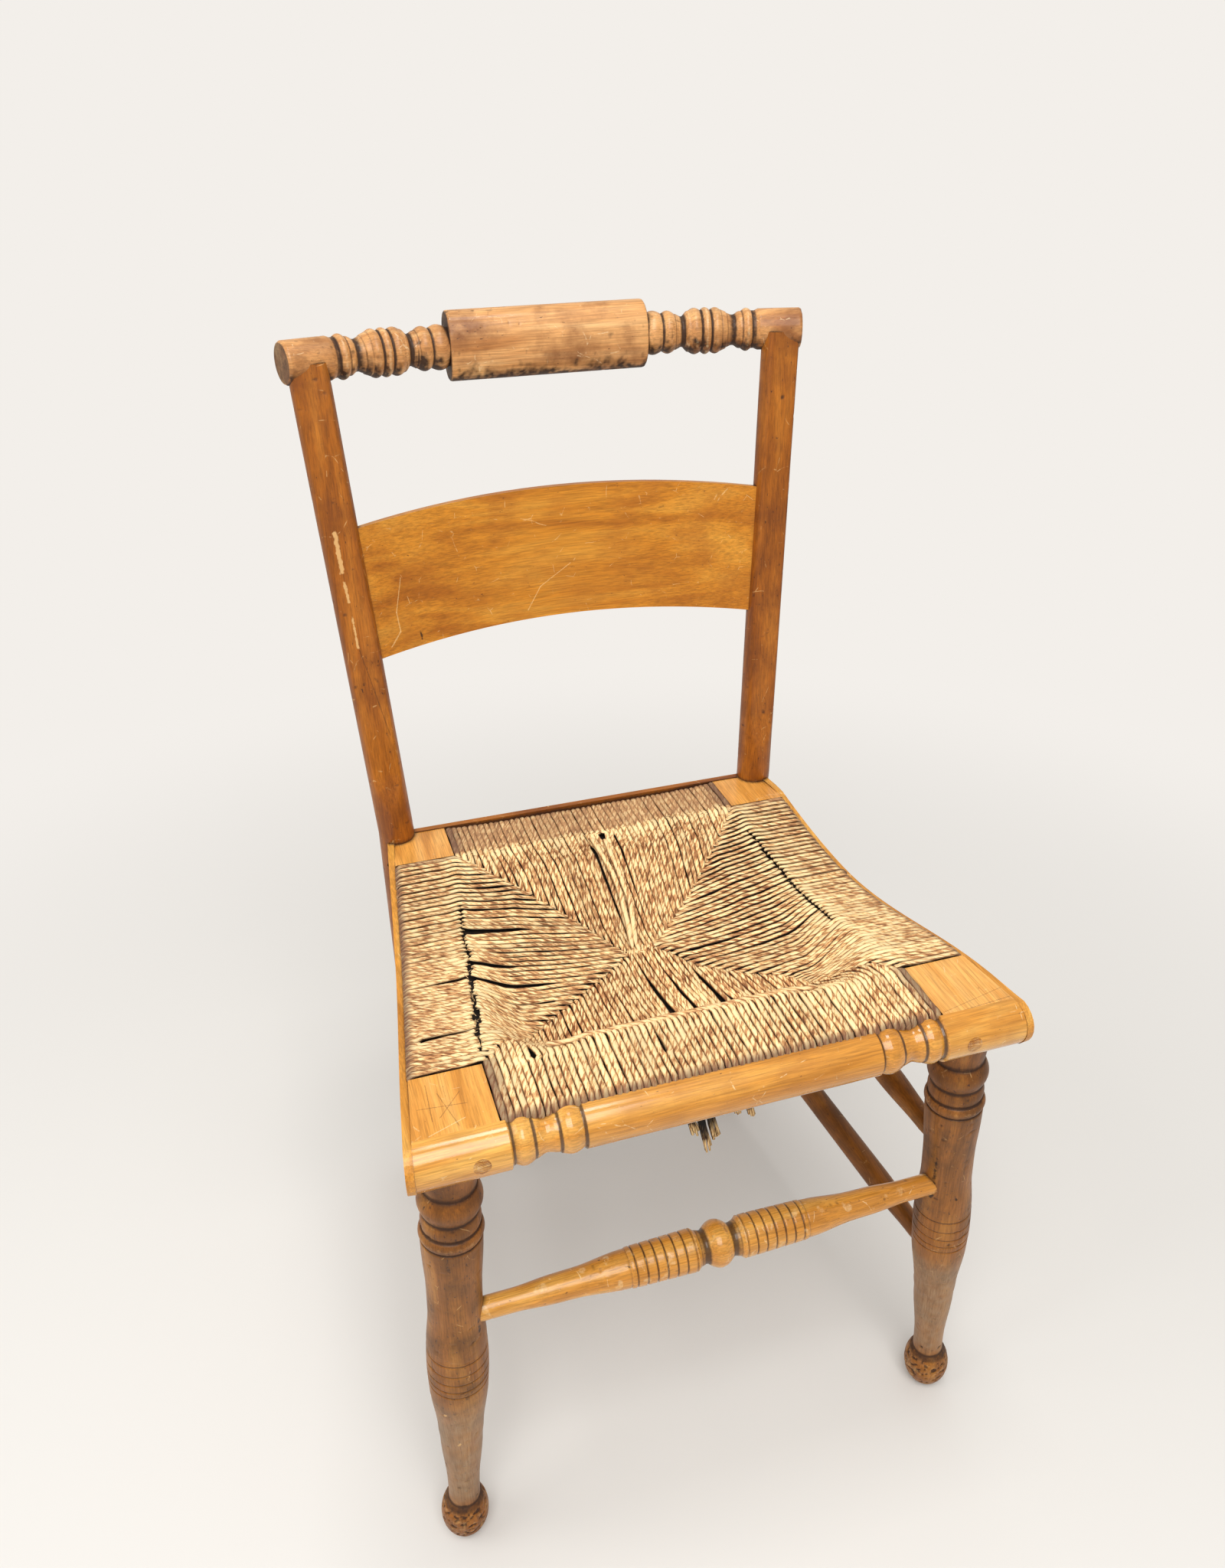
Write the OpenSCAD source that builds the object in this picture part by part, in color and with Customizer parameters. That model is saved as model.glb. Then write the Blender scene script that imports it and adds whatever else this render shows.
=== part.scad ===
// Side chair with a turned "pillow" crest rail, a bent slat and a woven rush seat.
// Millimetres. +Z is up, the front faces -Y, and the origin is on the floor under
// the middle of the chair's bounding box. Every node is one real piece (or one set
// of identical fasteners): the pieces meet face to face and their tenons fill
// matching sockets, so nothing overlaps.

/* [Seat] */
// Height of the front blocks' top face above the floor
seat_z = 445; // [430:1:455]
// Height of the rear blocks' top face above the floor
seat_back_z = 449; // [445:1:455]
// Thickness of the seat frame
frame_h = 36; // [34:1:38]
// Distance from the middle to the inner face of a front block
front_block_x = 156; // [150:1:160]
// Distance from the middle to the inner face of a rear block
rear_block_x = 126; // [122:1:130]
// Lowest height of the side strip's saddle curve
dip_z = 425; // [422:1:430]
// Thickness of the side and back strips
strip_t = 5.5; // [5:0.5:6]
// Height of the sagging middle of the woven seat
rush_mid_z = 420; // [414:1:428]

/* [Front roll] */
// Radius of the half-round front roll
roll_r = 18; // [17:0.5:18]
// Radius of the wooden plugs in the roll
plug_r = 5.8; // [5:0.2:6.4]

/* [Legs and stretchers] */
// Half distance between the front feet
foot_x = 208.5; // [204:0.5:210]
// How far each front leg leans in by seat height
leg_lean = 22; // [18:1:24]
// Height of the front stretcher above the floor
stretcher_z = 256.5; // [250:0.5:262]
// How far the rear feet stand behind the rear corners of the seat
rear_rake = 43; // [30:1:45]

/* [Back] */
// Radius of the back posts
post_r = 15; // [14.5:0.1:15.4]
// How far the posts' flat front faces lie from their axes
post_flat = 9.6; // [9:0.1:11]
// Height of the crest rail's axis above the floor
crest_z = 838; // [834:1:842]
// Half length of the crest rail
crest_x = 204; // [201:1:207]
// Height of the pillow block in the middle of the crest rail
pillow_h = 51.5; // [49:0.5:55]
// Thickness of the pillow block
pillow_t = 36; // [32:1:38]
// Radius of the slat's backward bend
slat_bend = 640; // [600:10:700]
// Thickness of the slat
slat_t = 8; // [7:0.5:9]

/* [Hidden] */
$fn = 64;

frame_y = -206;                 // front face of the blocks, where the roll is glued
fb_y = -152;                    // rear face of the front blocks
rb_y = 100;                     // front face of the rear blocks
back_y = 147;                   // rear face of the rear blocks
low_z = seat_z - frame_h;       // underside of the front blocks and the roll
roll_z = low_z + roll_r;        // axis of the roll
nose_y = frame_y - roll_r;      // most forward point of the seat
side_slope = 0.117;             // how much the sides spread towards the front
side_a = atan(side_slope);
strip_back_x = 179.6;           // outside of a strip at strip_ref_y
strip_ref_y = 111.8;
leg_y = -186;                   // line of the front legs
stretcher_y = -190;             // the front stretcher sits a little forward in them
leg_a = atan(leg_lean / seat_z);
post_x = 167;                   // post axis at seat height
post_top = [187, 176];          // post axis (x, y) at crest height
knee_z = 455;                   // where the post bends backwards and outwards
wood = "#b9763a";
wood_light = "#d2954a";
wood_dark = "#8f5527";

// outside of a side strip at depth y
function strip_x(y) = strip_back_x + side_slope * (strip_ref_y - y);
// inside of that strip, where the blocks and the rush meet it
function inner_x(y) = strip_x(y) - strip_t / cos(side_a);
// saddle curve of the strip's top edge
dip_y = -13;
function dip(y) = y > dip_y
    ? dip_z + (seat_back_z + 1 - dip_z) * pow((y - dip_y) / 125, 1.6)
    : dip_z + (seat_z - 1 - dip_z) * (1 - cos(180 * min(1, (dip_y - y) / 170))) / 2;
// half-sine bead, and a smooth run from one radius to the next, as [radius, height]
function bead(z0, z1, base, top, n = 8) =
    [for (i = [0:n]) [base + (top - base) * sin(180 * i / n), z0 + (z1 - z0) * i / n]];
function sweep(z0, z1, r0, r1, n = 6) =
    [for (i = [0:n]) [r0 + (r1 - r0) * (1 - cos(180 * i / n)) / 2, z0 + (z1 - z0) * i / n]];
function groove(z, r, w = 0.8, d = 0.9) = [[r, z - w], [r - d, z], [r, z + w]];
function lerp(a, b, t) = a + (b - a) * t;
// smooth rise from 0 at a to 1 at b
function ease(a, b, x) = let (t = min(1, max(0, (x - a) / (b - a)))) t * t * (3 - 2 * t);

module both() { children(); mirror([1, 0, 0]) children(); }
module side(left) { mirror([left ? 1 : 0, 0, 0]) children(); }
// a solid that runs from point a to point b along its own +Z
module between(a, b) {
    d = b - a;
    translate(a) rotate([0, acos(d[2] / norm(d)), atan2(d[1], d[0])]) children();
}
module rod(a, b, r) { between(a, b) cylinder(h = norm(b - a), r = r); }

// ---- back posts -------------------------------------------------------------
foot_p = [post_x, back_y + rear_rake, 0];
knee_p = [post_x, back_y, knee_z];
top_p = [post_top[0], post_top[1], crest_z - 1.5];
// point on the rear leg's axis at height z
function rear_leg(z) = foot_p + (knee_p - foot_p) * (z / knee_z);

module post_solid() {
    difference() {
        union() {
            intersection() {
                // round lower leg, slimmer at the foot
                between(foot_p, knee_p) rotate_extrude() polygon(concat([[0, -20]],
                    [[12, -20], [12.5, 30]], sweep(60, 240, 13, 15.3),
                    [[post_r, norm(knee_p - foot_p)], [0, norm(knee_p - foot_p)]]));
                translate([0, 0, 500]) cube(1000, center = true);
            }
            // the knee stands a hair proud, so that it covers the ends of both halves
            translate(knee_p) sphere(r = post_r + 0.15);
            rod(knee_p, top_p, post_r);
        }
        // flat shaved front face, fading out above the seat
        between(knee_p + [0, 0, 30], top_p) rotate([0, 0, -atan2(top_p[1] - knee_p[1],
            top_p[0] - knee_p[0])]) translate([-40, -post_flat - 40, 0]) cube([80, 40, 420]);
    }
}
post_screw_z = 430;
module post_screw() {
    y0 = rear_leg(post_screw_z)[1];
    translate([post_x, y0 + post_r + 0.6, post_screw_z]) rotate([90, 0, 18]) {
        cylinder(h = 6, r = 4.2);
        translate([0, 0, 6]) cylinder(h = 28, r = 2);
    }
}
module back_post(left) {
    color(wood) side(left) difference() {
        post_solid();
        slat_solid();
        post_screw();
        for (s = [upper_rod, lower_rod]) rod(s[0], s[1], s[2]);
        rod(rear_rod[0], rear_rod[1], rear_rod[2]);
    }
}

// ---- slat ------------------------------------------------------------------
slat_y = 165;                   // slat middle plane at the posts
slat_rake = atan((post_top[1] - back_y) / (crest_z - knee_z));
slat_z = [609, 716.5];           // heights of its lower and upper corners
slat_x = [176, 170];            // half lengths at the top and the bottom
slat_arch = 12.5;               // rise of both edges in the middle
function arch(x) = slat_arch * (1 - pow(x / 165, 2));
module slat_solid() {
    mid_z = (slat_z[0] + slat_z[1]) / 2;
    sag = slat_bend - sqrt(slat_bend * slat_bend - 165 * 165);
    translate([0, slat_y - 1, mid_z]) rotate([-slat_rake, 0, 0]) intersection() {
        rotate([90, 0, 0]) translate([0, 0, -60]) linear_extrude(120) polygon(concat(
            [for (i = [-12:12]) [slat_x[0] * i / 12, slat_z[1] - mid_z + arch(slat_x[0] * i / 12)]],
            [for (i = [12:-1:-12])
                [slat_x[1] * i / 12, slat_z[0] - mid_z + arch(slat_x[1] * i / 12)]]));
        translate([0, sag - slat_bend, -90]) difference() {
            cylinder(h = 180, r = slat_bend + slat_t / 2, $fn = 256);
            translate([0, 0, -1]) cylinder(h = 182, r = slat_bend - slat_t / 2, $fn = 256);
        }
    }
}
module back_slat() { color(wood_light) slat_solid(); }

// ---- crest rail --------------------------------------------------------------
crest_bend = 700;               // radius of the rail's backward bend
crest_y = 207.5;                // axis at the middle
pillow_x = 79;
function crest_arc(x) = crest_y - crest_bend + sqrt(crest_bend * crest_bend - x * x);
crest_len = norm([crest_x - pillow_x, crest_arc(crest_x) - crest_arc(pillow_x)]);
crest_turn = concat([[0, -6], [15, -6]], bead(0.5, 14.5, 14, 16.6), bead(14.5, 24.5, 14, 16.2),
    [[13.6, 24.6], [13.4, 26.5]], sweep(26.6, 30.5, 13, 11.5), sweep(31, 36, 11.5, 15.5),
    bead(36.5, 46, 15.4, 17.5), bead(46, 53.5, 15.4, 17.7), bead(53.5, 62, 15.4, 17.5),
    [[15.6, 62.1], [14, 66]], sweep(66.5, 71, 13, 11.5), sweep(72, 77, 11.5, 14),
    bead(78.5, 86.5, 14, 16.3), [[14.2, 86.6], [14.2, 89]], [[15, 90.5], [15.6, 92]],
    [[15.6, crest_len - 1.5], [14.4, crest_len], [0, crest_len]]);
module crest_solid() {
    both() translate([pillow_x, crest_arc(pillow_x), crest_z])
        rotate([0, 0, atan((crest_arc(crest_x) - crest_arc(pillow_x)) / (crest_x - pillow_x))])
            rotate([0, 90, 0]) rotate_extrude() polygon(crest_turn);
    // oval pillow block, leaning with the back
    translate([-pillow_x, crest_y - 2.5, crest_z]) rotate([-slat_rake, 0, 0])
        rotate([90, 0, 90]) linear_extrude(2 * pillow_x) polygon([for (i = [0:47])
            let (c = cos(7.5 * i), s = sin(7.5 * i))
            [pillow_t / 2 * sign(c) * pow(abs(c), 0.9), pillow_h / 2 * sign(s) * pow(abs(s), 0.9)]]);
}
module crest_rail() { color(wood) difference() { crest_solid(); both() post_solid(); } }

// ---- seat frame --------------------------------------------------------------
tenon_r = 7;
rail_t = 24;                    // width of the hidden side rails
rail_h = 26;                    // their height
front_rail = [-199, -175, 414, 439];    // y and z limits of the hidden front rail
rear_rail = [110, 134, 416, 442];       // and of the rear rail
module x_tenons(x, y, z) { both() translate([x - 1, y, z]) rotate([0, 90, 0])
    cylinder(h = 13, r = tenon_r); }
module side_tenon(y0, y1, z) {
    rod([strip_x(y0) - 23, y0, z], [strip_x(y1) - 23, y1, z], tenon_r);
}
module side_tenons() {
    side_tenon(fb_y - 20, fb_y + 1, 425);
    side_tenon(rb_y - 1, rb_y + 20, 430);
}
module front_tenons() { x_tenons(front_block_x, -187, 426.5); }
module rear_tenons() { x_tenons(rear_block_x, 122, 429); }
module front_seat_rail() {
    color(wood_dark) union() {
        translate([-front_block_x, front_rail[0], front_rail[2]])
            cube([2 * front_block_x, front_rail[1] - front_rail[0], front_rail[3] - front_rail[2]]);
        front_tenons();
    }
}
module rear_seat_rail() {
    color(wood_dark) union() {
        translate([-rear_block_x, rear_rail[0], rear_rail[2]])
            cube([2 * rear_block_x, rear_rail[1] - rear_rail[0], rear_rail[3] - rear_rail[2]]);
        rear_tenons();
    }
}
// prism whose outline is drawn in depth and height, set along the slanting side;
// its outer face is `out` inside the strip's outer face
module side_prism(pts, out, t) {
    translate([strip_x(0) - out, 0, 0]) rotate([0, 0, side_a]) translate([-t, 0, 0])
        rotate([90, 0, 90]) linear_extrude(t) polygon(pts);
}
function rail_edge(y) = dip(y * cos(side_a)) - 3;
module side_rail_solid(grow = 0) {
    intersection() {
        side_prism(concat([for (i = [0:20]) let (y = lerp(-166, 114, i / 20))
            [y, rail_edge(y) + grow]], [for (i = [20:-1:0]) let (y = lerp(-166, 114, i / 20))
            [y, rail_edge(y) - rail_h - grow]]), 11 - grow, rail_t + 2 * grow);
        translate([0, fb_y - grow, 300]) cube([300, rb_y - fb_y + 2 * grow, 300]);
    }
}
module side_seat_rail(left) {
    color(wood_dark) side(left) union() { side_rail_solid(); side_tenons(); }
}
module front_block_solid(grow = 0) {
    translate([0, 0, low_z]) linear_extrude(frame_h) polygon([
        [front_block_x - grow, frame_y], [inner_x(frame_y), frame_y],
        [inner_x(fb_y + grow), fb_y + grow], [front_block_x - grow, fb_y + grow]]);
}
module rear_block_solid(grow = 0) {
    translate([0, 0, seat_back_z - frame_h - 1]) linear_extrude(frame_h + 1) polygon([
        [rear_block_x - grow, back_y], [inner_x(back_y), back_y],
        [inner_x(rb_y - grow), rb_y - grow], [rear_block_x - grow, rb_y - grow]]);
}
module front_block(left) {
    color(wood_light) side(left) difference() {
        front_block_solid();
        side_tenons();
        front_tenons();
        leg_tenon();
        roll_screw();
        brads();
    }
}
module rear_block(left) {
    color(wood_light) side(left) difference() {
        rear_block_solid();
        side_tenons();
        rear_tenons();
        post_solid();
        post_screw();
        brads();
        back_brads();
    }
}

// ---- strips nailed round the frame ---------------------------------------------
module strip_solid() {
    y0 = nose_y / cos(side_a);
    y1 = (back_y - 1) / cos(side_a);
    difference() {
        side_prism(concat(
            [for (a = [270:-15:105]) [y0 + roll_r + roll_r * cos(a), roll_z + roll_r * sin(a)]],
            [for (i = [0:28]) let (y = lerp(-202, y1, i / 28))
                [y, min(dip(y * cos(side_a)), seat_back_z + 1)]],
            [for (i = [28:-1:0]) let (y = lerp(-202, y1, i / 28))
                [y, min(dip(y * cos(side_a)), seat_back_z + 1) - 34.8]]), 0, strip_t);
        post_solid();
    }
}
module side_strip(left) {
    color(wood_light) side(left) difference() {
        strip_solid();
        brads();
        post_screw();
    }
}
module back_strip() {
    color(wood_light) difference() {
        translate([-post_x, back_y, seat_back_z - 31]) cube([2 * post_x, strip_t, 32]);
        both() { post_solid(); post_screw(); }
        back_brads();
    }
}
module brad(h = 12) {
    cylinder(h = 1, r = 1.6, $fn = 24);
    translate([0, 0, 1]) cylinder(h = h, r = 0.7, $fn = 24);
}
// flush nails through the side strips into the blocks
module brads() {
    for (p = [[-192, 436], [-168, 418], [-168, 436], [116, 440], [116, 422]])
        translate([strip_x(p[0]), p[0], p[1]]) rotate([0, -90, side_a]) brad();
}
module back_brads() {
    for (x = [-136, 136]) for (z = [424, 440])
        translate([x, back_y + strip_t, z]) rotate([90, 0, 0]) brad();
}
module strip_brads() {
    color("#4a3a2c") union() { both() brads(); back_brads(); }
}

// ---- front roll ----------------------------------------------------------------
// turned profile of one half, as [radius, distance from the middle]
roll_turn = concat([[0, 0], [16.6, 0], [16.6, 103.5], [15.2, 105]], bead(105.5, 120, 15.2, 17.4),
    [[14.6, 120.5]], sweep(121, 129, 14.4, 12.8), sweep(129, 137, 12.8, 15),
    bead(137.5, 150, 15.2, 17.4), [[15.8, 151.5], [18, 153]],
    [[18, 240], [0, 240]]);
module roll_solid() {
    intersection() {
        both() translate([0, frame_y, roll_z]) rotate([0, 90, 0]) rotate_extrude()
            polygon([for (p = roll_turn) [p[0] * roll_r / 18, p[1]]]);
        linear_extrude(1000) polygon([[-(inner_x(frame_y)), frame_y],
            [-(inner_x(nose_y - 20)), nose_y - 20],
            [inner_x(nose_y - 20), nose_y - 20], [inner_x(frame_y), frame_y]]);
    }
}
plug_x = 172;
plug_a = -4;                    // the plugs sit a little above the nose
module at_plug() {
    translate([plug_x, frame_y, roll_z]) rotate([90 + plug_a, 0, 0]) children();
}
module plug() { at_plug() intersection() {
    translate([0, 0, 8]) cylinder(h = 20, r = plug_r);
    translate([-20, 0, 0]) rotate([0, 90, 0]) cylinder(h = 40, r = roll_r); } }
module roll_screw() {
    at_plug() { translate([0, 0, 5]) cylinder(h = 3, r = 4); translate([0, 0, -30]) cylinder(h = 35, r = 2); }
}
module front_roll() {
    color(wood_light) difference() { roll_solid(); both() { plug(); roll_screw(); } }
}
module roll_plugs() { color(wood_dark) both() plug(); }
module roll_screws() { color("#6b6259") both() roll_screw(); }
module post_screws() { color("#6b6259") both() post_screw(); }

// ---- woven seat ------------------------------------------------------------------
// A closed solid round the four rails: higher on the rails, sagging in the middle.
gap = 0.25;                     // the soft rush stays just clear of the wood
rush_c = -16;                   // depth at which the four woven panels meet
n = 22;
function rush_fy(y) = y < rush_c ? (rush_c - y) / (rush_c - frame_y) : (y - rush_c) / (back_y - rush_c);
function rush_m(fx, fy) = pow(pow(fx, 6) + pow(fy, 6) + 1e-9, 1 / 6);
function rush_k(fx, fy) = pow(fx, 6) / (pow(fx, 6) + pow(fy, 6) + 1e-9);
// height of the top over the rails, and its rounding where the strands turn down
function rush_rim(y) = y < rush_c ? seat_z + 2 : seat_back_z - 1;
function rush_turn(m) = m < 0.94 ? 0 : -3 * pow((m - 0.94) / 0.06, 2);
// share of the rim's height: the hollow has a steep front and a long slope at the back
function rush_rise(m, y) = lerp(ease(0.56, 0.76, m), pow(min(1, m / 0.5), 1.1), ease(-70, 10, y));
function rush_top(fx, y) = let (fy = rush_fy(y), m = rush_m(fx, fy), k = rush_k(fx, fy))
    lerp(rush_mid_z, lerp(rush_rim(y), dip(y) + 6, k), rush_rise(m, y)) + rush_turn(m);
function rush_low(fx, y) = let (fy = rush_fy(y), m = rush_m(fx, fy), k = rush_k(fx, fy))
    lerp(rush_mid_z - 20, lerp(low_z + (y < rush_c ? 0 : 4), dip(y) - 34, k), pow(min(1, m / 0.8), 1.5));
module rush_body() {
    pts = [for (s = [0, 1]) for (j = [0:n]) for (i = [0:n])
        let (y = lerp(frame_y + gap, back_y - gap, j / n), u = 2 * i / n - 1,
            x = u * (inner_x(y) - gap))
        [x, y, s == 0 ? rush_low(abs(u), y) : rush_top(abs(u), y)]];
    m = n + 1;
    N = m * m;
    polyhedron(pts, concat(
        [for (j = [0:n - 1]) for (i = [0:n - 1]) [j * m + i, j * m + i + 1, (j + 1) * m + i]],
        [for (j = [0:n - 1]) for (i = [0:n - 1]) [j * m + i + 1, (j + 1) * m + i + 1, (j + 1) * m + i]],
        [for (j = [0:n - 1]) for (i = [0:n - 1]) [N + j * m + i, N + (j + 1) * m + i, N + j * m + i + 1]],
        [for (j = [0:n - 1]) for (i = [0:n - 1])
            [N + j * m + i + 1, N + (j + 1) * m + i, N + (j + 1) * m + i + 1]],
        [for (i = [0:n - 1]) [i, N + i, N + i + 1, i + 1]],
        [for (i = [0:n - 1]) [n * m + i + 1, N + n * m + i + 1, N + n * m + i, n * m + i]],
        [for (j = [0:n - 1]) [(j + 1) * m, N + (j + 1) * m, N + j * m, j * m]],
        [for (j = [0:n - 1]) [j * m + n, N + j * m + n, N + (j + 1) * m + n, (j + 1) * m + n]]));
}
module rush_seat() {
    color("#b08a54") difference() {
        rush_body();
        both() {
            front_block_cut();
            rear_block_cut();
            side_rail_solid(gap);
        }
        translate([-front_block_x - 5, front_rail[0] - gap, front_rail[2] - gap])
            cube([2 * front_block_x + 10, front_rail[1] - front_rail[0] + 2 * gap,
                front_rail[3] - front_rail[2] + 2 * gap]);
        translate([-rear_block_x - 5, rear_rail[0] - gap, rear_rail[2] - gap])
            cube([2 * rear_block_x + 10, rear_rail[1] - rear_rail[0] + 2 * gap,
                rear_rail[3] - rear_rail[2] + 2 * gap]);
    }
}
// the corners that the blocks take out of the woven solid, cut well above and below
module front_block_cut() {
    translate([front_block_x - gap, frame_y - 10, low_z - 30])
        cube([100, fb_y - frame_y + 10 + gap, frame_h + 80]);
}
module rear_block_cut() {
    translate([rear_block_x - gap, rb_y - gap, low_z - 30])
        cube([100, back_y - rb_y + 20, frame_h + 80]);
}
// broken strands that hang down behind the front rail
// as [point where one leaves the seat, x and y of its tip, height of the tip, radius]
ends = [[[-26, -170], [-12, -173], 353, 2.9], [[-18, -166], [-5, -170], 351, 2.9],
    [[-16, -173], [-3, -175], 337, 2.8], [[-8, -168], [4, -172], 344, 3], [[12, -170], [21, -172], 362, 2.7],
    [[22, -168], [32, -171], 357, 2.8], [[35, -170], [39, -171], 370, 2.3]];
module rush_broken_ends() {
    color("#7a5a34") union() for (e = ends)
        rod([e[0][0], e[0][1], low_z - 1.5], [e[1][0], e[1][1], e[2]], e[3]);
}

// ---- front legs --------------------------------------------------------------------
leg_turn = concat(
    [for (a = [-80:10:40]) [18.7 * cos(a), 24.5 + 26 * sin(a)]],
    [[12.4, 43.5], [12.2, 50]], sweep(60, 122, 12.3, 16.2), sweep(130, 186, 17, 21.9),
    groove(191, 22.1), groove(197.5, 22.4), groove(205.5, 22.5), groove(214.5, 22.4),
    groove(225, 22, 1, 1.2), sweep(228, 264, 21.7, 19.4, 8), sweep(285, 330, 19.4, 21.3, 6),
    [[21.4, 335.8], [20, 337]], bead(338, 346.5, 21, 22.4), [[19.8, 347.2]],
    bead(348, 358, 19.8, 20.6), [[19, 360]], bead(361, 382, 19, 22.2, 10),
    [[18.2, 382.8]], [[18.2, 384.5], [20.6, 402], [20.6, 420], [0, 420]]);
module at_leg() { translate([foot_x, leg_y, 0]) rotate([0, -leg_a, 0]) children(); }
module leg_tenon() { at_leg() cylinder(h = low_z + 22, r = 11); }
module leg_solid() {
    union() {
        intersection() {
            at_leg() rotate_extrude() polygon(concat([[0, -2]], leg_turn));
            translate([0, -400, 0]) cube([400, 400, low_z]);
        }
        intersection() {
            leg_tenon();
            translate([0, -400, low_z - 1]) cube([400, 400, 60]);
        }
    }
}
module front_leg(left) {
    color(wood) side(left) difference() {
        leg_solid();
        rod([150, stretcher_y, stretcher_z], [front_rod_end, stretcher_y, stretcher_z], 8.3);
        for (s = [upper_rod, lower_rod]) rod(s[0], s[1], s[2]);
    }
}
// point on a front leg's axis at height z
function front_leg_axis(z) = [foot_x - leg_lean * z / seat_z, leg_y, z];

// ---- stretchers ----------------------------------------------------------------------
front_rod_end = front_leg_axis(stretcher_z)[0] - 9;
front_turn = concat([[0, 0]], [for (i = [0:5]) [17.3 * cos(i * 9), 2 * i]],
    sweep(11.5, 15.5, 12, 13), [[13.6, 16.5]],
    [for (g = [0:6]) let (z = 20 + g * 7.6, r = 15.6 - 0.16 * g)
        each groove(z, r, 1, 1.3)], [[14.4, 69], [13.6, 70]],
    sweep(71, 112, 13.8, 10.4), sweep(122, 156, 10.2, 8.3), [[8.3, front_rod_end], [0, front_rod_end]]);
module front_stretcher() {
    color(wood_light) both() translate([0, stretcher_y, stretcher_z]) rotate([0, 90, 0])
        rotate_extrude() polygon(front_turn);
}
// the plain rods, as [front or left end, rear or right end, end radius, middle radius]
function inset(a, b, d) = a + (b - a) * (d / norm(b - a));
function side_rod(zf, zr) = let (a = front_leg_axis(zf), b = rear_leg(zr))
    [inset(a, b, 8), inset(b, a, 6), 7.6, 10.5];
upper_rod = side_rod(283, 311);
lower_rod = side_rod(160, 173);
rear_rod = [[-rear_leg(240)[0] + 6, rear_leg(240)[1], 240],
    [rear_leg(240)[0] - 6, rear_leg(240)[1], 240], 7.4, 9.8];
module cigar(s) {
    L = norm(s[1] - s[0]);
    between(s[0], s[1]) rotate_extrude() polygon(concat([[0, 0], [s[2], 0], [s[2], 16]],
        sweep(21, 78, s[2] + 0.4, s[3], 10), sweep(L - 90, L - 20, s[3], s[2] + 0.3, 10),
        [[s[2], L - 12], [s[2], L], [0, L]]));
}
module side_stretcher_upper(left) { color(wood) side(left) cigar(upper_rod); }
module side_stretcher_lower(left) { color(wood) side(left) cigar(lower_rod); }
module rear_stretcher() { color(wood) cigar(rear_rod); }

crest_rail();
back_post(true);  // back_post_left
back_post(false);  // back_post_right
back_slat();
front_block(true);  // front_block_left
front_block(false);  // front_block_right
rear_block(true);  // rear_block_left
rear_block(false);  // rear_block_right
front_seat_rail();
rear_seat_rail();
side_seat_rail(true);  // side_seat_rail_left
side_seat_rail(false);  // side_seat_rail_right
front_roll();
side_strip(true);  // side_strip_left
side_strip(false);  // side_strip_right
back_strip();
rush_seat();
rush_broken_ends();
front_leg(true);  // front_leg_left
front_leg(false);  // front_leg_right
front_stretcher();
side_stretcher_upper(true);  // side_stretcher_upper_left
side_stretcher_upper(false);  // side_stretcher_upper_right
side_stretcher_lower(true);  // side_stretcher_lower_left
side_stretcher_lower(false);  // side_stretcher_lower_right
rear_stretcher();
roll_plugs();
roll_screws();
post_screws();
strip_brads();
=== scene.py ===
# %% [markdown]
# # A worn side chair with a split rush seat
# The real chair is a small varnished maple side chair: turned crest rail with a pillow
# block, one bent slat, ringed front legs and a seat woven from twisted rush. It is old:
# the varnish is scratched and worn through, dirt sits in every groove, and the rush is
# frayed, cracked and split. The construction model already holds every place and size,
# so this script loads it and adds what that model can't show: woven strands, turnings
# with wear on them, broken ends, and the finish of every surface.

# %% Load the construction model
import math
import random

import bmesh
import bpy
from mathutils import Matrix, Vector, noise


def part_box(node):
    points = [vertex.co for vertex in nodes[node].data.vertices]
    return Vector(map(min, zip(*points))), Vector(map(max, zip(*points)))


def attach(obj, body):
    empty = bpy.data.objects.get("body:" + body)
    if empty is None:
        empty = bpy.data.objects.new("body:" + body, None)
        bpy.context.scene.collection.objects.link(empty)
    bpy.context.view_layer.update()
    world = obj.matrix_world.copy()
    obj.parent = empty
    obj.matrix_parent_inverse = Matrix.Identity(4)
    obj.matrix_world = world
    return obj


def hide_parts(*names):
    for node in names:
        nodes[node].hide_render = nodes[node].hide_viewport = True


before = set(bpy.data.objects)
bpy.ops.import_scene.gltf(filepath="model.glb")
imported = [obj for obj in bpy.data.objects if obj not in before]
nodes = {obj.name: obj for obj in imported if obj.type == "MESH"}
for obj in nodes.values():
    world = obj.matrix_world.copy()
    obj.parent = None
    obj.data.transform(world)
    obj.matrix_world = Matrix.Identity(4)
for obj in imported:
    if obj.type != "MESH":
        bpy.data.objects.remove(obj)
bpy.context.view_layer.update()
MM = 0.001

# %% [markdown]
# ## Camera
# A phone held above seat height, a little to the left of the chair and tilted by one
# degree, looks down at it. The lens is wide, so the front legs spread towards the
# bottom of the picture. A camera is aimed by building its three axes: right, up and
# backwards. That keeps the tilt exact, where a tracking constraint would level it.

# %% Camera
CAMERA_AT = Vector((-0.2420, -0.7414, 0.9819))
LOOK_AZIMUTH = math.radians(16.97)
LOOK_DOWN = math.radians(29.12)
ROLL = math.radians(-1.15)
LENS_MM = 27.04


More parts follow.
